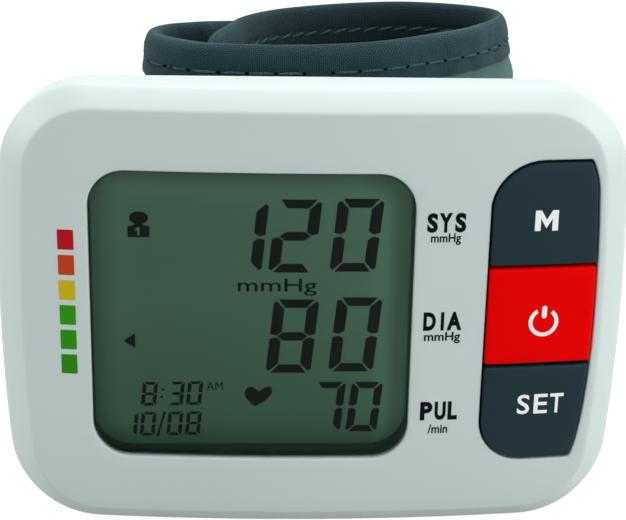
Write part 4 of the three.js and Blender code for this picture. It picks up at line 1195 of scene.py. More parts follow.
def power_sign():
    """A ring open at its top, with an upright bar in the opening."""
    rings = [
        arc(ring_x, ring_z, radius, 90 + ring_gap, 450 - ring_gap, 40)
        for radius in (ring_radius + ring_stroke / 2, ring_radius - ring_stroke / 2)
    ]
    ring = skin([lying(points, on_key) for points in rings], False)
    middle = ring_z + (bar_base + bar_top) / 2
    bar = rounded_rectangle(bar_x, middle, 2 * bar_half, bar_top - bar_base, bar_corner, 5)
    return [ring, flat_shapes([bar], on_key)]


letter_m = [
    (0, 0), (0.25, 0), (0.25, 0.6), (0.5, 0.12), (0.75, 0.6), (0.75, 0), (1, 0), (1, 1),
    (0.74, 1), (0.5, 0.54), (0.26, 1), (0, 1),
]
m_left, m_base, m_width, m_height = 28.35, 42.75, 3.1, 2.78
m_shape = [(m_left + m_width * x, m_base + m_height * z) for x, z in letter_m]
set_spans = [(27.54, 29.26), (29.85, 31.75), (32.09, 33.95)]
legends = {
    "memory_key": [flat_shapes([m_shape], on_key)],
    "power_key": power_sign(),
    "set_key": spelled("SET", 16.8, 19.65, set_spans, on_key, key_word_weight),
}
for name, parts in legends.items():
    legend = printed(f"{name}_legend", parts, white_ink, name, "key_blue")
    tell(legend)

# %% [markdown]
# ## Rear cover and battery door
#
# The rear cover tapers towards the wrist and its back is hollowed to lie on it. The battery door
# is cut out of the same form, so its surface runs on from the cover's. Both get their wall from
# the same skin: the cut edges, the gap round the door and the inside of the bay follow from it.

# %% Sizes of the rear
body_depth = 25.6
saddle_radius = 170
rear_step = 0.4
rear_taper_side, rear_taper_end = 3.6, 6.6
rear_edge = 1.2
door_edge = -36.2
door_base, door_top = 8.5, 52.5
door_front = 11
door_gap = 0.3
screw_places = [(x, z) for x in (-10.4, 31) for z in (5.5, 55.5)]
recess_radius, recess_rise = 2.35, 0.1
drill_reach = (14, 40)
screw_seat, seat_width = 15.0, 1.2
rear_profile = [(1, 1.2), (0.72, 0.78), (0.45, 0.42), (0.2, 0.14), (0, 0.02), (-0.3, 0)]


def saddle_at(x):
    return body_depth + saddle_radius - math.sqrt(saddle_radius**2 - x**2)


def recess(x, z, grow=0):
    return arc(x, z, recess_radius + grow, 0, 360, 28)


def rear_skin():
    lip = 0.3
    rings = [
        case_ring(rear_step + wall, rear_step + wall, flat_at(parting_depth)),
        case_ring(rear_step + lip, rear_step + lip, flat_at(parting_depth)),
        case_ring(rear_step, rear_step, flat_at(parting_depth + lip)),
    ]
    for share in (0.25, 0.5, 0.75):
        side = rear_step + (rear_taper_side - rear_step) * share
        end = rear_step + (rear_taper_end - rear_step) * share

        def slope(x):
            return parting_depth + lip + (saddle_at(x) - rear_edge - parting_depth - lip) * share

        rings.append(case_ring(side, end, slope))
    for share, rise in rear_profile:
        inset = rear_edge * (1 - share)
        rings.append(
            case_ring(
                rear_taper_side + inset, rear_taper_end + inset, lambda x: saddle_at(x) - rise
            )
        )
    edge = rear_edge * (1 - rear_profile[-1][0])
    back = case_outline(rear_taper_side + edge, rear_taper_end + edge)
    return [skin(rings), filled(back, [], saddle_at)]


def screw_recess(x, z):
    """The wall and the floor of the hole that a case screw sits in."""
    rings = [[(px, surface_at(px, pz) - recess_rise, pz) for px, pz in recess(x, z)]]
    rings += [lying(recess(x, z, -inset), flat_at(screw_seat)) for inset in (0, seat_width)]
    return skin(rings)


def surface_at(x, z):
    """Depth of the rear cover's surface near its ends: a slope that ends in the hollow back."""
    inset = min(z, body_height - z)
    share = (inset - rear_step) / (rear_taper_end - rear_step)
    slope = parting_depth + (saddle_at(x) - rear_edge - parting_depth) * share
    return min(slope, saddle_at(x))


def drilled(mesh):
    """The shell with its screw holes cut through the wall."""
    rods = []
    for x, z in screw_places:
        ends = [lying(recess(x, z), flat_at(depth)) for depth in drill_reach]
        points, faces = skin(ends)
        count = len(ends[0])
        caps = [tuple(range(count)), tuple(range(2 * count - 1, count - 1, -1))]
        rods.append((points, faces + caps))
    tool_mesh = mesh_of("drill", rods)
    work = opened(tool_mesh)
    join_up(work)
    tool, shell = added("drill", written(work, tool_mesh)), added("shell", mesh)
    cut = shell.modifiers.new("cut", "BOOLEAN")
    cut.operation, cut.solver, cut.object = "DIFFERENCE", "EXACT", tool
    bpy.context.view_layer.update()
    result = bpy.data.meshes.new_from_object(evaluated(shell))
    for made in (tool, shell):
        bpy.data.objects.remove(made)
    return result


def cut_by_door(work, keep_door):
    """Leaves only the door's part of the skin, or only the rest, with the gap between them."""
    room = -door_gap if keep_door else 0
    bounds = [
        (door_edge + door_gap + room, 0, Vector((1, 0, 0))),
        (door_front - door_gap - room, 1, Vector((0, -1, 0))),
        (door_base - door_gap - room, 2, Vector((0, 0, -1))),
        (door_top + door_gap + room, 2, Vector((0, 0, 1))),
    ]
    planes = []
    for level, axis, outward in bounds:
        spot = [0, 0, 0]
        spot[axis] = level
        planes.append((place(*spot), outward))
    for spot, outward in planes:
        geometry = work.verts[:] + work.edges[:] + work.faces[:]
        bmesh.ops.bisect_plane(work, geom=geometry, dist=1e-7, plane_co=spot, plane_no=outward)
    gone = []
    for face in work.faces:
        middle = face.calc_center_median()
        within = all((middle - spot).dot(outward) < 0 for spot, outward in planes)
        if within != keep_door:
            gone.append(face)
    bmesh.ops.delete(work, geom=gone, context="FACES")


def rear_piece(name, keep_door, extra, body):
    mesh = mesh_of(name, rear_skin())
    work = opened(mesh)
    join_up(work)
    cut_by_door(work, keep_door)
    bmesh.ops.solidify(work, geom=work.faces[:], thickness=wall * mm)
    if not keep_door:
        work = opened(drilled(written(work, mesh)))
    vertices, faces = bulk(extra)
    corners = [work.verts.new(place(*v)) for v in vertices]
    for face in faces:
        work.faces.new([corners[i] for i in face])
    bmesh.ops.recalc_face_normals(work, faces=work.faces)
    ready = written(work, bpy.data.meshes.new(name))
    return finished(name, ready, rear_plastic, body, "shell_white", sharp=40)


def plate(low, high, edge=0.15):
    """A box with slightly softened front and back edges."""
    (x0, y0, z0), (x1, y1, z1) = low, high

    def ring(inset, y):
        a, b, c, d = x0 + inset, x1 - inset, z0 + inset, z1 - inset
        return [(a, y, c), (b, y, c), (b, y, d), (a, y, d)]

    rings = [ring(edge, y0), ring(0, y0 + edge), ring(0, y1 - edge), ring(edge, y1)]
    points, faces = skin(rings)
    last = len(points) - 4
    return points, faces + [(3, 2, 1, 0), (last, last + 1, last + 2, last + 3)]


def door_rib(middle_y):
    """A low rounded rib on the door's side, for the thumb that slides it off."""
    half_rib, half_long = 0.5, 8
    profile = [(0, -0.8), (0, 0.2), (0.12, 0.34), (0.32, 0.4)]
    rings = []
    for inset, height in profile:
        half_y, half_z = half_rib - inset, half_long - inset
        ring = rounded_rectangle(middle_y, middle_z, 2 * half_y, 2 * half_z, half_y * 0.9, 4)
        rings.append([(-door_side_at(y) - height, y, z) for y, z in ring])
    points, faces = skin(rings)
    count = len(rings[0])
    return points, faces + [tuple(range(len(points) - count, len(points)))]


def door_side_at(y):
    end = saddle_at(half_width - rear_taper_side) - rear_edge
    share = (y - parting_depth) / (end - parting_depth)
    return half_width - rear_step - (rear_taper_side - rear_step) * share


# %% Rear cover and door as pieces
bay_left, bay_right = -34.45, -12.85
bay_front, bay_back = 11.2, 20
bay_base, bay_top = 5.95, 55.05
bay_wall = 1.4
divider_back = 24.3
divider_base, divider_top = 9.6, 51.4
rib_pitch = 3
tongue_front, tongue_back = 23.65, 25
tongue_left, tongue_right = -38, -29.2
tongue_places, tongue_half = (13.5, 47.5), 2

bay_walls = [
    plate((bay_left, bay_front, bay_base - bay_wall), (bay_right, bay_back, bay_base)),
    plate((bay_left, bay_front, bay_top), (bay_right, bay_back, bay_top + bay_wall)),
    plate(
        (bay_right, bay_front, divider_base), (bay_right + bay_wall, divider_back, divider_top)
    ),
]
recesses = [screw_recess(x, z) for x, z in screw_places]
rear = rear_piece("cover_rear", False, bay_walls + recesses, "case")
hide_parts("rear_cover")

rib_middle = (parting_depth + body_depth) / 2
door_details = [door_rib(rib_middle + rib_pitch * i) for i in (-1, 0, 1)]
for z in tongue_places:
    low = (tongue_left, tongue_front, z - tongue_half)
    high = (tongue_right, tongue_back, z + tongue_half)
    door_details.append(plate(low, high))
door = rear_piece("door", True, door_details, "battery_door")
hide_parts("battery_door")
tell(rear, door)

# %% [markdown]
# ## Fabrics
#
# The cuff's fabric is a dark nylon in a coarse plain weave, and the tape along its edges is the
# same yarn woven finer. Threads are waves along and across the fabric: every other crossing lifts
# one thread over the next, and that pattern raises the bump and sets the colour, with a painted
# highlight on the lifted threads and painted shade between them. A sheen keeps the fabric soft
# where it is seen at a glancing angle.


# %% Woven fabric
thread_wander = 0.35
thread_fullness = 0.7
under_height = 0.55
thread_share, fuzz_share, cloud_share = 0.7, 0.5, 0.32
highlight = 1.6
painted_inside_shade = 0.55


def woven(name, colour, pitch, contrast=0.55, depth=0.1, ribbed=1, sheen=0.08, shaded_from=None):
    """A plain weave with threads at a pitch in millimetres.

    ribbed widens one set of threads. Beyond shaded_from, a distance across the fabric, it lies
    towards the wrist, and painted shade makes it darker there.
    """
    made, tree, shader = material(
        name, IOR=1.4, Specular_IOR_Level=0.2,
        Sheen_Weight=sheen, Sheen_Roughness=0.4, Sheen_Tint=(0.55, 0.9, 0.95),
    )
    spot = node(tree, "ShaderNodeUVMap", settings=[("uv_map", "weave")])
    along, across = parts_of(spot, (0, 1))
    wander = (noise(tree, 2.6, detail=2) - 0.5) * thread_wander
    a = (along + wander) * (math.pi / (pitch * ribbed))
    b = (across + wander) * (math.pi / pitch)
    warp, weft = (wave.sine().absolute() ** thread_fullness for wave in (b, a))
    over = a.sine() * b.sine() > 0
    crossing = warp * weft
    fuzz = noise(tree, 0.35, detail=3, roughness=0.7)
    cloudy = noise(tree, 9, detail=3)
    height = (crossing * (over * (1 - under_height) + under_height)).clamped()
    uneven = (fuzz - 0.35) * fuzz_share + (cloudy - 0.5) * cloud_share
    # The colour follows the height: a painted highlight on the lifted crossings and painted shade
    # between the threads, with random fuzz and clouds of tone.
    shade = (height * thread_share + uneven).clamped()
    low = tuple(c * (1 - contrast) for c in colour)
    high = tuple(min(1, c * (1 + contrast * highlight)) for c in colour)
    tone = mixed(tree, shade, low, high)
    # Painted shade: the part towards the wrist is darkened, for the shade inside the loop.
    if shaded_from is not None:
        inner = ((across - shaded_from) * 2).clamped()
        tone = mixed(tree, inner * painted_inside_shade, tone, (0.003, 0.006, 0.009))
    wire(tree, shader, Base_Color=tone, Roughness=fuzz * 0.2 + 0.65)
    bump(tree, shader, height + fuzz * 0.4, 0.9, depth)
    return made


cuff_fabric = woven("outer_fabric", screen(82, 112, 107), 0.27, ribbed=1.1, depth=0.1)
# The lining's dark colour is partly the fabric's own and partly painted shade for the inside of the
# loop.
lining = woven("inner_lining_and_shade", screen(18, 26, 31), 0.25)
# The tape's half beyond its middle lies towards the wrist and gets painted shade.
tape_middle = 6.9
tape_fabric = woven(
    "tape_fabric", screen(25, 52, 60), 0.235, 0.8, 0.13, 1.2, sheen=0.2, shaded_from=tape_middle
)
thread = woven("thread", screen(52, 82, 88), 0.25, ribbed=3, depth=0.05)
# Painted shade for the needle holes.
painted_hole_shade = ink("painted_hole_shade", (6, 12, 14), 0.9)
print("fabrics:", cuff_fabric.name, lining.name, tape_fabric.name, thread.name)

# %% [markdown]
# ## Cuff
#
# The cuff is one long padded strip. It stands on the back of the case, turns sharply at both
# sides, and winds round into an open spiral: its far end goes round as the band, and its inner
# end tucks in behind. A smooth curve through a few places gives the strip's middle, seen from
# above, and everything on the cuff is placed by its distance along that curve and its height.

# %% The strip's course, seen from above
cuff_height = 61.5
loop_left, loop_front = -24, 30.5
loop_width, loop_depth = 56, 42.5
left_fold, right_fold = (0.054, 0.146), (0.882, 0.388)
front_course = [
    (0.114, 0.064), (0.164, 0.026), (0.262, 0.005), (0.339, 0), (0.457, 0.016), (0.525, 0.04),
    (0.596, 0.078), (0.671, 0.141), (0.75, 0.226), (0.827, 0.311),
]
band_course = [
    (0.929, 0.485), (0.971, 0.595), (0.998, 0.713), (0.993, 0.819), (0.939, 0.908),
    (0.855, 0.965), (0.736, 0.993), (0.611, 0.955), (0.487, 0.882), (0.382, 0.791),
    (0.304, 0.682), (0.252, 0.555), (0.22, 0.4), (0.193, 0.266), (0.168, 0.106),
]
flap_course = [
    (0.029, 0.216), (0.025, 0.311), (0.054, 0.4), (0.102, 0.461), (0.143, 0.518),
    (0.171, 0.602), (0.229, 0.748), (0.325, 0.88), (0.443, 0.984), (0.579, 1.064),
    (0.654, 1.092),
]


def on_loop(share):
    return Vector((loop_left + loop_width * share[0], loop_front + loop_depth * share[1]))


def curve_through(places, per_span=24):
    """A centripetal Catmull-Rom curve through the places."""
    points = [on_loop(p) for p in places]
    points = [2 * points[0] - points[1], *points, 2 * points[-1] - points[-2]]
    course = []
    for before, start, end, after in zip(points, points[1:], points[2:], points[3:]):
        steps = (start - before, end - start, after - end)
        first, second, third = (math.sqrt(step.length) for step in steps)
        leave = (start - before) / first - (end - before) / (first + second)
        leave = (leave + (end - start) / second) * second
        arrive = (end - start) / second - (after - start) / (second + third)
        arrive = (arrive + (after - end) / third) * second
        for i in range(per_span):
            t = i / per_span
            course.append(
                (2 * t**3 - 3 * t**2 + 1) * start + (t**3 - 2 * t**2 + t) * leave
                + (3 * t**2 - 2 * t**3) * end + (t**3 - t**2) * arrive
            )
    course.append(points[-2])
    return np.array([tuple(p) for p in course])


class Course:
    """The strip's middle as a function of the distance along it, in millimetres."""

    def __init__(self, points):
        self.points = points
        lengths = np.hypot(*np.diff(points, axis=0).T)
        self.stations = np.concatenate([[0], np.cumsum(lengths)])
        self.length = self.stations[-1]

    def at(self, station):
        return np.array([np.interp(station, self.stations, self.points[:, k]) for k in (0, 1)])

    def outward(self, station, reach=0.6):
        """The unit vector that points away from the wrist."""
        middle = min(max(station, reach), self.length - reach)
        along = self.at(middle + reach) - self.at(middle - reach)
        along = along / np.hypot(*along)
        return np.array([along[1], -along[0]])

    def nearest(self, share):
        """The station of the place on the curve that is nearest to a place on the loop."""
        spot = np.array(tuple(on_loop(share)))
        return float(self.stations[np.argmin(np.hypot(*(self.points - spot).T))])


course = Course(
    curve_through([*flap_course[::-1], left_fold, *front_course, right_fold, *band_course])
)
left_station = course.nearest(left_fold)
right_station = course.nearest(right_fold)
middle_station = course.nearest(front_course[4])
print(f"strip {course.length:.0f} mm long, folds at {left_station:.0f} and {right_station:.0f}")

# %% Thickness and height of the strip
flap_half, front_half, band_half = 1.3, 2.0, 1.5
flap_drop = 2.4
drop_start, drop_end = 0.3, 0.62
flap_sag, sag_at, sag_width = 0.5, 0.38, 0.12
fold_half_length = 6
crest_flare, quick_flare, slow_flare = 0.5, 1.1, 1.4
quick_start, quick_end = 4, 10
flare_start, flare_end = 25.4, 32
left_flare, left_crest_share, left_flare_down = 0.6, 0.55, 8
left_flare_start, left_flare_end = -19.5, -23


def smooth(start, end, value):
    share = min(1, max(0, (value - start) / (end - start)))
    return share * share * (3 - 2 * share)


def half_thickness(station):
    at_left, at_right = (
        smooth(fold - fold_half_length, fold + fold_half_length, station)
        for fold in (left_station, right_station)
    )
    return flap_half + (front_half - flap_half) * at_left - (front_half - band_half) * at_right


def on_strip(station, height, out):
    """A point by its distance along the strip, its height, and its distance out from the middle.

    The inner end is a little narrower than the rest, and both folds flare below their crest, the
    right one more.
    """
    share = 1 - station / left_station
    drop = flap_drop * smooth(drop_start, drop_end, share)
    drop += flap_sag * math.exp(-(((share - sag_at) / sag_width) ** 2))
    x, y = course.at(station) + course.outward(station) * out
    down = cuff_height - height
    flared = crest_flare + quick_flare * smooth(quick_start, quick_end, down)
    flared += slow_flare * down / cuff_height
    below = smooth(0, left_flare_down, down)
    left_out = left_flare * (left_crest_share + (1 - left_crest_share) * below)
    left_out *= smooth(-left_flare_start, -left_flare_end, -x)
    middle = cuff_height / 2
    level = middle + (height - middle) * (1 - 2 * drop / cuff_height)
    return (x + flared * smooth(flare_start, flare_end, x) - left_out, y, level)


def sheet(outline, spot, spacing):
    """The area inside an outline of stations and heights, each of its points placed by spot."""
    flat, faces = filled(outline, [], flat_at(0), spacing)
    return [spot(station, height) for station, _, height in flat], faces


print(f"half thickness {front_half} mm at the case, {band_half} mm in the band")

# %% [markdown]
# The padded body is an even grid of quads, closed at its borders. Its borders lie inside the
# tape and hold still. Between them, pressure inside blows the fabric up a little, like the
# thin foam and the bladder do in the real cuff. How far a point may move is capped, so the strip
# keeps its place beside the case. The simulation runs on the whole strip, and it is
# split afterwards into a left and a right half, which meet behind the middle of the case.

# %% Grid of the padded strip
tape_hold = 6.2
tape_corner = 5
pad_border = 2.2
pad_pitch = 1.25
pad_cap = 1.1
border_fullness = 0.4
pad_rises = [(0.36, (0, 3)), (0.22, (3.6, 7.5))]
pad_start, pad_end = pad_border, course.length - pad_border
pad_base, pad_top = pad_border, cuff_height - pad_border
along_count = round((pad_end - pad_start) / pad_pitch)
height_count = round((pad_top - pad_base) / pad_pitch)
split_column = round((middle_station - pad_start) / (pad_end - pad_start) * along_count)


def from_border(station, height):
    return min(station - pad_start, pad_end - station, height - pad_base, pad_top - height)


def fullness(station, height):
    """Share of the full thickness: thin under the tape and full a few millimetres inside."""
    rises = [rise * smooth(*span, from_border(station, height)) for rise, span in pad_rises]
    return border_fullness + rises[0] + rises[1]


def pad_grid():
    """Both sides of the strip as one closed mesh: places, faces, and (station, height) pairs."""
    stations = np.linspace(pad_start, pad_end, along_count + 1)
    heights = np.linspace(pad_base, pad_top, height_count + 1)
    places_in_frame, spots, numbers = [], [], {}
    for side in (1, -1):
        for i, station in enumerate(stations):
            for j, height in enumerate(heights):
                out = side * half_thickness(station) * fullness(station, height)
                numbers[side, i, j] = len(spots)
                places_in_frame.append(place(*on_strip(station, height, out)))
                spots.append((station, height))
    faces = []
    for i in range(along_count):
        for j in range(height_count):
            quad = [(i, j), (i + 1, j), (i + 1, j + 1), (i, j + 1)]
            faces.append(tuple(numbers[1, a, b] for a, b in quad))
            faces.append(tuple(numbers[-1, a, b] for a, b in quad[::-1]))
    border = [(i, 0) for i in range(along_count)]
    border += [(along_count, j) for j in range(height_count)]
    border += [(i, height_count) for i in range(along_count, 0, -1)]
    border += [(0, j) for j in range(height_count, 0, -1)]
    for here, after in pairs(border):
        faces.append(
            (numbers[1, *after], numbers[1, *here], numbers[-1, *here], numbers[-1, *after])
        )
    return places_in_frame, faces, spots


pad_places, pad_faces, pad_spots = pad_grid()
print(f"padded strip: {len(pad_faces)} faces")

# %% Blow up the strip and split it
cloth_frames = 20
cloth_settings = {
    "quality": 4, "mass": 0.02, "use_pressure": True, "uniform_pressure_force": 4,
    "tension_stiffness": 30, "compression_stiffness": 30, "shear_stiffness": 12,
    "bending_stiffness": 2, "vertex_group_mass": "held",
}


def inflated(positions):
    """The strip after a short cloth simulation with pressure inside, as an array in metres."""
    mesh = bpy.data.meshes.new("strip")
    mesh.from_pydata(positions, [], pad_faces)
    strip = added("strip", mesh)
    held = strip.vertex_groups.new(name="held")
    for i, (station, height) in enumerate(pad_spots):
        if from_border(station, height) < tape_hold - pad_border:
            held.add([i], 1, "REPLACE")
    cloth = strip.modifiers.new("cloth", "CLOTH")
    for name, value in cloth_settings.items():
        setattr(cloth.settings, name, value)
    cloth.settings.effector_weights.gravity = 0
    cloth.point_cache.frame_start, cloth.point_cache.frame_end = 1, cloth_frames
    for frame_number in range(1, cloth_frames + 1):
        bpy.context.scene.frame_set(frame_number)
    result = np.array([tuple(v.co) for v in evaluated(strip).data.vertices])
    bpy.context.scene.frame_set(1)
    bpy.data.objects.remove(strip)
    return result


def capped(before, after, most):
    """The simulated places, moved by no more than the cap."""
    moved = after - before
    far = np.linalg.norm(moved, axis=1, keepdims=True)
    return before + moved * np.minimum(1, most * mm / np.maximum(far, 1e-12))


flat_strip = np.array([tuple(p) for p in pad_places])
full_strip = flat_strip
full_strip = capped(flat_strip, inflated(flat_strip), pad_cap)
grown = np.linalg.norm(full_strip - flat_strip, axis=1) / mm
print(f"cloth moved {grown.mean():.2f} mm on average, {grown.max():.2f} mm at most")


def lay_texture(mesh, spots):
    """A texture map in millimetres along and across the fabric, for its weave."""
    layer = mesh.uv_layers.new(name="weave")
    for loop in mesh.loops:
        layer.data[loop.index].uv = spots[loop.vertex_index]


split_station = pad_start + (pad_end - pad_start) * split_column / along_count


def half_strip(name, left):
    """One half of the strip as a mesh of its own, with its weave laid along it.

    The faces towards the wrist have the dark lining as their second material: partly its own
    colour, partly painted shade.
    """
    wanted = []
    for face in pad_faces:
        on_left = np.mean([pad_spots[i][0] for i in face]) < split_station
        if on_left == left:
            wanted.append(face)
    used = sorted({i for face in wanted for i in face})
    number = {old: new for new, old in enumerate(used)}
    mesh = bpy.data.meshes.new(name)
    faces = [tuple(number[i] for i in face) for face in wanted]
    mesh.from_pydata([full_strip[i] for i in used], [], faces)
    lay_texture(mesh, [pad_spots[i] for i in used])
    inner_side = [all(i >= len(pad_spots) // 2 for i in face) for face in wanted]
    return mesh, inner_side


print(f"halves meet at {split_station:.1f} mm")

# %% [markdown]
# When the cuff opens, each half bends at its fold. Here each half is a piece without a body, with
# its place baked into its mesh.


def bending(name, mesh, finish, sharp=60):
    """A soft piece of the cuff, without a body, its place baked into its mesh."""
    piece = finished(name, mesh, finish, None, "cuff_fabric", sharp)
    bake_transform(piece)
    return piece


def padded_half(name, left):
    mesh, inner_side = half_strip(name, left)
    piece = bending(name, mesh, cuff_fabric)
    mesh.materials.append(lining)
    mesh.polygons.foreach_set("material_index", [int(inner) for inner in inner_side])
    return piece


pad_left = padded_half("cuff_pad_left", True)
pad_right = padded_half("cuff_pad_right", False)
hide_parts("cuff_front", "cuff_flap")
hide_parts("cuff_band")
tell(pad_left, pad_right)

# %% [markdown]
# ## Edge tape
#
# A woven tape is folded over the whole edge of the strip and stitched through. It is a skin over
# rings that follow the edge: each ring lies some distance in from the edge and some distance out
# from the strip's middle. The tape comes to a narrow crest, dips where the thread pulls it in,
# and stands up a little at its own edge. Small creases gather where the strip turns sharply.

# %% Tape round the edge
# Each step of the profile: distance in from the edge, share of the half thickness, and rise.
tape_profile = [
    (6.5, 1, -0.4), (6.42, 1, -0.12), (6.28, 1, 0.06), (6.0, 1, 0.14), (5.5, 1, 0.16),
    (4.9, 1, 0.1), (4.45, 1, 0.04), (4.1, 1, -0.1), (3.85, 1, -0.18), (3.6, 1, -0.08),
    (3.3, 0.99, 0.02), (2.9, 0.97, 0.04), (2.4, 0.93, 0.02), (1.8, 0.86, 0), (1.3, 0.76, 0),
    (0.85, 0.62, 0), (0.5, 0.47, 0), (0.24, 0.32, 0), (0.08, 0.18, 0),
]
row_inward = {1: 3.85, -1: 4.35}
round_shares = [(0.08, 0.3), (0.24, 0.52), (0.5, 0.7), (0.85, 0.85), (1.3, 0.95), (1.8, 1)]
outer_pitch, inner_pitch = 3.95, 2.9
pucker = 0.09
crease = 0.22
tape_step = 0.66
turn_steps = 12
fold_reach, long_reach, fold_core = 16, 26, 3
least_gather = 0.35
row_width = 0.8


def edge_path(left, inward, step=tape_step):
    """Stations and heights along the strip's edge, from the middle round the end and back."""
    near, far = split_station, (0 if left else course.length)
    toward = 1 if left else -1
    corner, radius = far + toward * tape_corner, tape_corner - inward
    upper, lower = cuff_height - tape_corner, tape_corner
    steps = round(abs(near - corner) / step)
    path = [(s, cuff_height - inward) for s in np.linspace(near, corner, steps)]
    turns = [math.pi / 2 * i / turn_steps for i in range(1, turn_steps)]
    path += [
        (corner - toward * radius * math.sin(t), upper + radius * math.cos(t)) for t in turns
    ]
    down = round((upper - lower) / step)
    path += [(far + toward * inward, z) for z in np.linspace(upper, lower, down)]
    path += [
        (corner - toward * radius * math.cos(t), lower - radius * math.sin(t)) for t in turns
    ]
    return path + [(s, inward) for s in np.linspace(corner, near, steps)]


def distances(left):
    """Distance along the outermost edge, at each point of an edge path."""
    steps = np.diff(np.array(edge_path(left, 0)), axis=0)
    return np.concatenate([[0], np.cumsum(np.hypot(*steps.T))])


def near_fold(station, flap_reach=fold_reach):
    """1 at the two folds and 0 beyond their reach, which may be longer along the inner end."""
    left_reach = flap_reach if station < left_station else fold_reach
    folds = [(left_station, left_reach), (right_station, fold_reach)]
    return max(1 - smooth(fold_core, reach, abs(station - fold)) for fold, reach in folds)


def gathered(station):
    """How strongly the tape is creased: most at the two folds."""
    return least_gather + (1 - least_gather) * near_fold(station)


def tape_out(station, inward, side, distance):
    """Distance of the tape from the strip's middle, with its puckers and creases."""
    depths, shares, rises = zip(*tape_profile[::-1])
    half = half_thickness(station)
    pointed = np.interp(inward, depths, shares)
    rounded = np.interp(inward, *zip((0, 0), *round_shares))
    folded = near_fold(station, flap_reach=long_reach)
    out = half * (pointed + (max(pointed, rounded) - pointed) * folded)
    out += np.interp(inward, depths, rises)
    pitch = outer_pitch if side > 0 else inner_pitch
    near_row = math.exp(-(((inward - row_inward[side]) / row_width) ** 2))
    out -= pucker * near_row * math.cos(2 * math.pi * distance / pitch)
    spot = Vector((distance / 4.2, side * inward / 2.6, side * 7.3))
    fine = Vector((distance / 1.7, side * inward / 1.2, side * 3.1))
    wave = ripple.noise(spot) + 0.4 * ripple.noise(fine)
    body = smooth(0.1, 1.6, inward) * (1 - 0.7 * near_row)
    return side * (out + crease * gathered(station) * wave * body)


def tape(name, left):
    rings, spots = [], []
    along = distances(left)
    sides = [(row[0], 1) for row in tape_profile] + [(0, 0)]
    sides += [(row[0], -1) for row in tape_profile[::-1]]
    for inward, side in sides:
        ring = []
        for (station, height), distance in zip(edge_path(left, inward), along):
            out = tape_out(station, inward, side, distance) if side else 0
            ring.append(on_strip(station, height, out))
        rings.append(ring)
        across = (tape_profile[0][0] - inward) if side > 0 else tape_profile[0][0] + inward
        spots += [(d, across) for d in along]
    mesh = mesh_of(name, [skin(rings, closed=False)])
    lay_texture(mesh, spots)
    return bending(name, mesh, tape_fabric, sharp=75)


tapes = [tape("cuff_tape_left", True), tape("cuff_tape_right", False)]
tell(*tapes)

# %% [markdown]
# The thread of the seam shows as one short stitch after another: it rises out of one needle hole
# and dives into the next. The stitches on the inside are shorter, and lie askew like a chain. The
# needle holes outside are flat dark ovals on the tape, as painted shade.

# %% Stitches and needle holes
thread_rise, thread_sunk = 0.27, 0.06
hole_half_long, hole_half_wide, hole_rise, hole_sides = 0.3, 0.21, 0.05, 8
# Each seam: its side of the strip, its pitch, how far its stitches lie askew, and its thread.
seams = [(1, outer_pitch, 0.0, 0.21), (-1, inner_pitch, 0.3, 0.2)]


def edge_point(left, distance, inward, side, out_more=0.0):
    """A place on the tape by its distance along the edge."""
    path = np.array(edge_path(left, inward))
    along = distances(left)
    station, height = (float(np.interp(distance, along, path[:, k])) for k in (0, 1))
    out = tape_out(station, inward, side, distance)
    return Vector(on_strip(station, height, out + side * out_more))


def tube(points, radius, sides=6):
    """A thin round thread through the points, its ends drawn to a tip."""
    rings = []
    for i, point in enumerate(points):
        ahead = points[min(i + 1, len(points) - 1)] - points[max(i - 1, 0)]
        across = ahead.orthogonal().normalized()
        other = ahead.normalized().cross(across)
        wide = radius * math.sqrt(max(0.05, 1 - (2 * i / (len(points) - 1) - 1) ** 6))
        turns = [2 * math.pi * k / sides for k in range(sides)]
        ring = [point + wide * (math.cos(t) * across + math.sin(t) * other) for t in turns]
        rings.append([tuple(spot) for spot in ring])
    return skin(rings)


def stitches(left):
    parts, holes = [], []
    length = distances(left)[-1]
    for side, pitch, skew, radius in seams:
        for number in range(int(length / pitch)):
            start = (number + 0.5) * pitch
            points = []
            for share in np.linspace(0.06, 0.94, 6):
                rise = thread_rise * math.sin(math.pi * share) - thread_sunk
                inward = row_inward[side] + skew * (share - 0.5) * 2
                points.append(edge_point(left, start + share * pitch, inward, side, rise))
            parts.append(tube(points, radius))
            if side > 0:
                # Each needle hole is a flat dark oval on the tape: painted shade.
                hole = oval(start, row_inward[side], hole_half_long, hole_half_wide, hole_sides)
                rim = [tuple(edge_point(left, u, v, side, hole_rise)) for u, v in hole]
                holes.append((rim, [tuple(range(hole_sides))]))
    return parts, holes


def loose_parts(name, parts, finish):
    """Small parts as one piece. Its weave runs along the strip."""
    mesh = mesh_of(name, parts)
    lay_texture(mesh, [(x + y, z) for x, y, z in bulk(parts)[0]])
    return bending(name, mesh, finish)


for half_name, left in (("left", True), ("right", False)):
    seam_parts, seam_holes = stitches(left)
    seam = loose_parts(f"cuff_stitches_{half_name}", seam_parts, thread)
    loose_parts(f"cuff_needle_hole_shade_{half_name}", seam_holes, painted_hole_shade)
    print(f"{seam.name}: {len(seam_parts)} stitches")

# %% [markdown]
# ## Hook and loop patches
#
# Where the inner end lies on the band, a patch of hook tape faces one of loop tape. Both are thin
# slabs with rounded edges that follow the strip.

# %% Patches on the inner end and the band
patch_profile = [(0.25, 0), (0, 0.12), (0, 0.36), (0.1, 0.46), (0.3, 0.5)]
patch_corner = 3
patch_gap = 0.3
patch_base, patch_top = 7, 54.5
hook_stations = [left_station * (1 - share) for share in (0.96, 0.62)]
band_length = course.length - right_station
loop_stations = [right_station + band_length * share for share in (0.56, 0.82)]


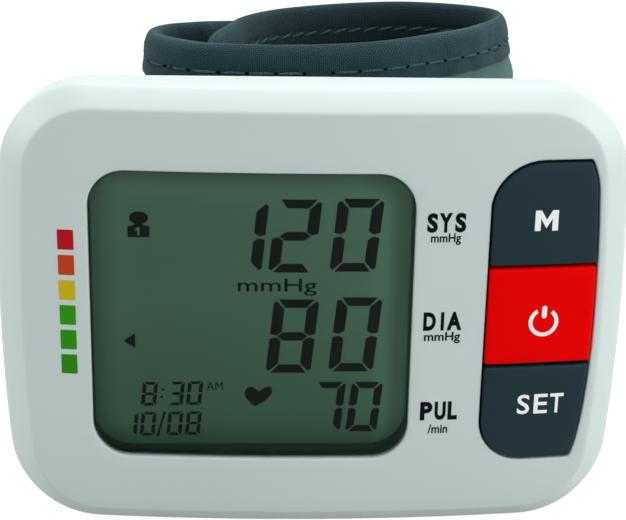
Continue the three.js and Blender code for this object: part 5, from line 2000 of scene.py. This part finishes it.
def patch(name, replaced, start, end, side, finish, body):
    """A patch between two stations, outside (1) or inside (-1) the strip."""
    middle_x, height = (start + end) / 2, patch_top - patch_base
    outline = rounded_rectangle(
        middle_x, patch_base + height / 2, end - start, height, patch_corner, 5
    )
    outline = spread(outline, 1.5)

    def spot(station, height, rise):
        return on_strip(station, height, side * (half_thickness(station) + patch_gap + rise))

    rings = [
        [spot(s, z, rise) for s, z in drawn_in(outline, inset)] for inset, rise in patch_profile
    ]
    sheets = []
    for inset, rise in (patch_profile[0], patch_profile[-1]):
        sheets.append(sheet(drawn_in(outline, inset), lambda s, z: spot(s, z, rise), 1.5))
    piece = build(name, [skin(rings), *sheets], finish, body, "hook_tape", sharp=60)
    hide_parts(replaced)
    return piece


hook_finish = moulded("hook_tape", screen(26, 34, 38), 0.7, grain=0.5, depth=0.25)
loop_finish = moulded("loop_tape", screen(30, 40, 44), 0.9, grain=0.35, depth=0.2)
hook = patch("cuff_hooks", "hook_patch", *hook_stations, -1, hook_finish, "cuff_flap")
loop = patch("cuff_loops", "loop_patch", *loop_stations, 1, loop_finish, "cuff_band")
tell(hook, loop)

# %% [markdown]
# ## Air bladder
#
# The bladder is two sheets of film, welded together all round. It lies in the padded front, on
# the side of the wrist, and it is nearly empty: a flat welded border, and a low swell inside it.

# %% Bladder in the front of the cuff
bladder_ends, bladder_margin = 8.5, 7
bladder_out = -0.75
bladder_corner = 6
weld_width, swell_width = 3.2, 4
ridge_rise, ridge_width = 0.06, 0.5
film, swell = 0.12, 0.42


def air_bladder():
    start, end = left_station + bladder_ends, right_station - bladder_ends
    base, top = bladder_margin, cuff_height - bladder_margin
    outline = rounded_rectangle(
        (start + end) / 2, cuff_height / 2, end - start, top - base, bladder_corner, 6
    )
    outline = spread(outline, 1.6)

    def side_of(side):
        def spot(station, height):
            inward = min(station - start, end - station, height - base, top - height)
            bulge = (swell - film) * smooth(weld_width, weld_width + swell_width, inward)
            ridge = ridge_rise * math.exp(-(((inward - weld_width) / ridge_width) ** 2))
            return on_strip(station, height, bladder_out + side * (film + bulge + ridge))

        return sheet(outline, spot, 1.4)

    front, back = side_of(1), side_of(-1)
    rim = skin([points[: len(outline)] for points, _ in (front, back)])
    piece = build("air_bladder", [front, back, rim], film_finish, "case", "bladder_rubber")
    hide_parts("bladder")
    return piece


film_finish = moulded("bladder_film", (0.2, 0.24, 0.23), 0.5, grain=0.6, depth=0.02, drift=0.08)
air = air_bladder()
tell(air)

# %% [markdown]
# ## Finishes of the inner parts
#
# The solids inside the case have the right shapes already, and keep them. Each gets the finish of
# the real part: plated steel with its brushed lines, a green board with its tracks and tinned
# pads, moulded epoxy, milky silicone, and batteries in a plain printed sleeve.

# %% Give a finish to solids of the frame
tarnish = 0.72


def finish_nodes(finish, *names):
    for name in names:
        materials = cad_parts[name].data.materials
        materials.clear()
        materials.append(finish)


def plated(name, colour, roughness, brushed=(1, 1, 8)):
    """Plated metal: fine lines along one direction, and a little tarnish in patches."""
    made, tree, shader = material(name, Metallic=1)
    lines = noise(tree, 0.12, detail=2, stretched=brushed)
    patches = noise(tree, 3, detail=3)
    dull = tuple(c * tarnish for c in colour)
    uneven = lines * 0.18 + patches * 0.12 + (roughness - 0.15)
    wire(tree, shader, Base_Color=mixed(tree, patches, dull, colour), Roughness=uneven)
    bump(tree, shader, lines, 0.4, 0.01)
    return made


zinc = plated("zinc_plate", (0.48, 0.5, 0.52), 0.42)
nickel = plated("nickel_plate", (0.6, 0.62, 0.64), 0.3, brushed=(1, 1, 4))
screws = [f"case_screw_{side}_{end}" for side in ("left", "right") for end in ("lower", "upper")]
finish_nodes(zinc, *screws, "board_screw_lower", "board_screw_upper", "pump_motor", "valve_body")
finish_nodes(zinc, "pump_shaft", "valve_plunger")
contacts = ["battery_link", "battery_contact_outer", "battery_contact_inner"]
finish_nodes(nickel, *contacts, "battery_spring_outer", "battery_spring_inner")
print(f"{len(screws)} case screws, {len(contacts)} contacts")


# %% Circuit board
track_pitch, cross_pitch, track_step = 0.9, 1.3, 0.45
pads_per_metre, pad_radius = 330, 0.16


def board_finish():
    """Solder mask over copper tracks that run straight and step aside, with tinned pads."""
    made, tree, shader = material("board_mask", IOR=1.5)
    spot = objects_space(tree)
    x, z = (part * (1 / mm) for part in parts_of(spot, (0, 2)))
    steps = (noise(tree, 11, detail=0) * 9).math("ROUND") * track_step
    track = ((x + steps) * (math.pi / track_pitch)).sine() > 0.35
    across = ((z + steps) * (math.pi / cross_pitch)).sine() > 0.6
    region = noise(tree, 14, detail=0) > 0.5
    copper = (track * region + across * (1 - region)).clamped()
    pads = node(tree, "ShaderNodeTexVoronoi", Vector=spot, Scale=pads_per_metre)
    tin = (pads < pad_radius) * (noise(tree, 6, detail=0) > 0.52)
    mask = mixed(tree, copper, (0.012, 0.075, 0.028), (0.03, 0.15, 0.06))
    tone = mixed(tree, tin, mask, (0.55, 0.55, 0.52))
    uneven = 0.42 - tin * 0.1 + noise(tree, 0.4) * 0.08
    wire(tree, shader, Base_Color=tone, Metallic=tin, Roughness=uneven)
    bump(tree, shader, copper + tin, 0.6, 0.035)
    return made


finish_nodes(board_finish(), "main_board")
epoxy = moulded("epoxy", (0.012, 0.012, 0.014), 0.55, grain=0.12, depth=0.008, drift=0.15)
finish_nodes(epoxy, "control_chip", "pressure_sensor", "buzzer")
finish_nodes(epoxy, "memory_switch", "power_switch", "set_switch")
stem_white = moulded("stem_white", (0.5, 0.5, 0.46), 0.4, depth=0.003)
finish_nodes(stem_white, "memory_switch_stem", "power_switch_stem", "set_switch_stem")
print("board, chips and switches")


# %% Connector strip and rubber
stripe_pitch = 0.18


def striped_rubber():
    """Thin conducting stripes across an insulating rubber."""
    made, tree, shader = material("striped_rubber", Roughness=0.7)
    (x,) = parts_of(objects_space(tree), [0])
    stripe = (x * (math.pi / (stripe_pitch * mm))).sine() > 0
    wire(tree, shader, Base_Color=mixed(tree, stripe, (0.24, 0.2, 0.19), (0.02, 0.02, 0.022)))
    bump(tree, shader, noise(tree, 0.3), 0.5, 0.01)
    return made


finish_nodes(striped_rubber(), "display_connector")
silicone = moulded("silicone", (0.6, 0.65, 0.61), 0.36, grain=0.8, depth=0.01, drift=0.06)
finish_nodes(silicone, "cuff_tube", "pump_tube", "sensor_tube", "valve_tube")
black_moulding = moulded("black_moulding", (0.012, 0.016, 0.015), 0.52, depth=0.012, drift=0.1)
finish_nodes(black_moulding, "pump_head", "air_manifold", "cuff_plate", "air_nipple")
polypropylene = moulded("polypropylene", (0.62, 0.62, 0.56), 0.38, grain=0.5, drift=0.05)
finish_nodes(polypropylene, "curl_sheet")
print("rubber, silicone and inner mouldings")

# %% Batteries
cell_low, cell_high = (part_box("battery_outer")[k].z for k in (0, 1))
lower_bare, upper_bare = 0.9, 1.9
ring_down, ring_width = 9, 2.2


def cell_finish():
    """A sleeve shrunk over the can: dark blue, a pale ring near one end, and bare metal ends."""
    made, tree, shader = material("cell_sleeve", Coat_Roughness=0.15)
    (z,) = parts_of(objects_space(tree), [2])
    bare = (z < cell_low + lower_bare * mm) + (z > cell_high - upper_bare * mm)
    ring_base = cell_high - ring_down * mm
    ring = (z > ring_base) * (z < ring_base + ring_width * mm)
    scuffs = noise(tree, 0.7, detail=4, stretched=(1, 1, 5))
    sleeve = mixed(tree, scuffs, (0.022, 0.12, 0.33), (0.04, 0.19, 0.5))
    sleeve = mixed(tree, ring, sleeve, (0.6, 0.62, 0.64))
    tone = mixed(tree, bare, sleeve, (0.6, 0.6, 0.58))
    wire(tree, shader, Base_Color=tone, Metallic=bare.clamped(), Roughness=scuffs * 0.2 + 0.22)
    bump(tree, shader, scuffs, 0.3, 0.01)
    return made


finish_nodes(cell_finish(), "battery_outer", "battery_inner")
print(f"battery {(cell_high - cell_low) / mm:.1f} mm long")

# %% [markdown]
# The spring of the release valve stands between the plunger's head and the valve. When the
# plunger rises, the spring shortens. Here it is a fixed coil of its own, on the case.

# %% Spring of the release valve
spring_low, spring_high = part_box("valve_spring")
spring_wire = 0.2
spring_turns, steps_per_turn = 3, 28


def valve_coil():
    middle = (spring_low + spring_high) / 2
    x, y = middle.x / mm, (middle.y - cover_low.y) / mm
    base, top = spring_low.z / mm + spring_wire, spring_high.z / mm - spring_wire
    radius = (spring_high.x - spring_low.x) / 2 / mm - spring_wire
    count = spring_turns * steps_per_turn
    points = []
    for i in range(count + 1):
        turn = 2 * math.pi * i / steps_per_turn
        height = base + (top - base) * i / count
        points.append(Vector((x + radius * math.cos(turn), y + radius * math.sin(turn), height)))
    return build("valve_coil", [tube(points, spring_wire, 10)], nickel, "case", "contact_steel")


coil = valve_coil()
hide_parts("valve_spring")
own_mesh(coil)

# %% [markdown]
# ## Boxes
#
# The boxes of the bare solids and of the finished model are printed side by side.

# %% Print both boxes and finish
dressed_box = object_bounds()
boxes = {"solids": solid_box, "model": dressed_box}
for name, (low, high) in boxes.items():
    print(name, "x".join(f"{(b - a) / mm:.1f}" for a, b in zip(low, high)), "mm")
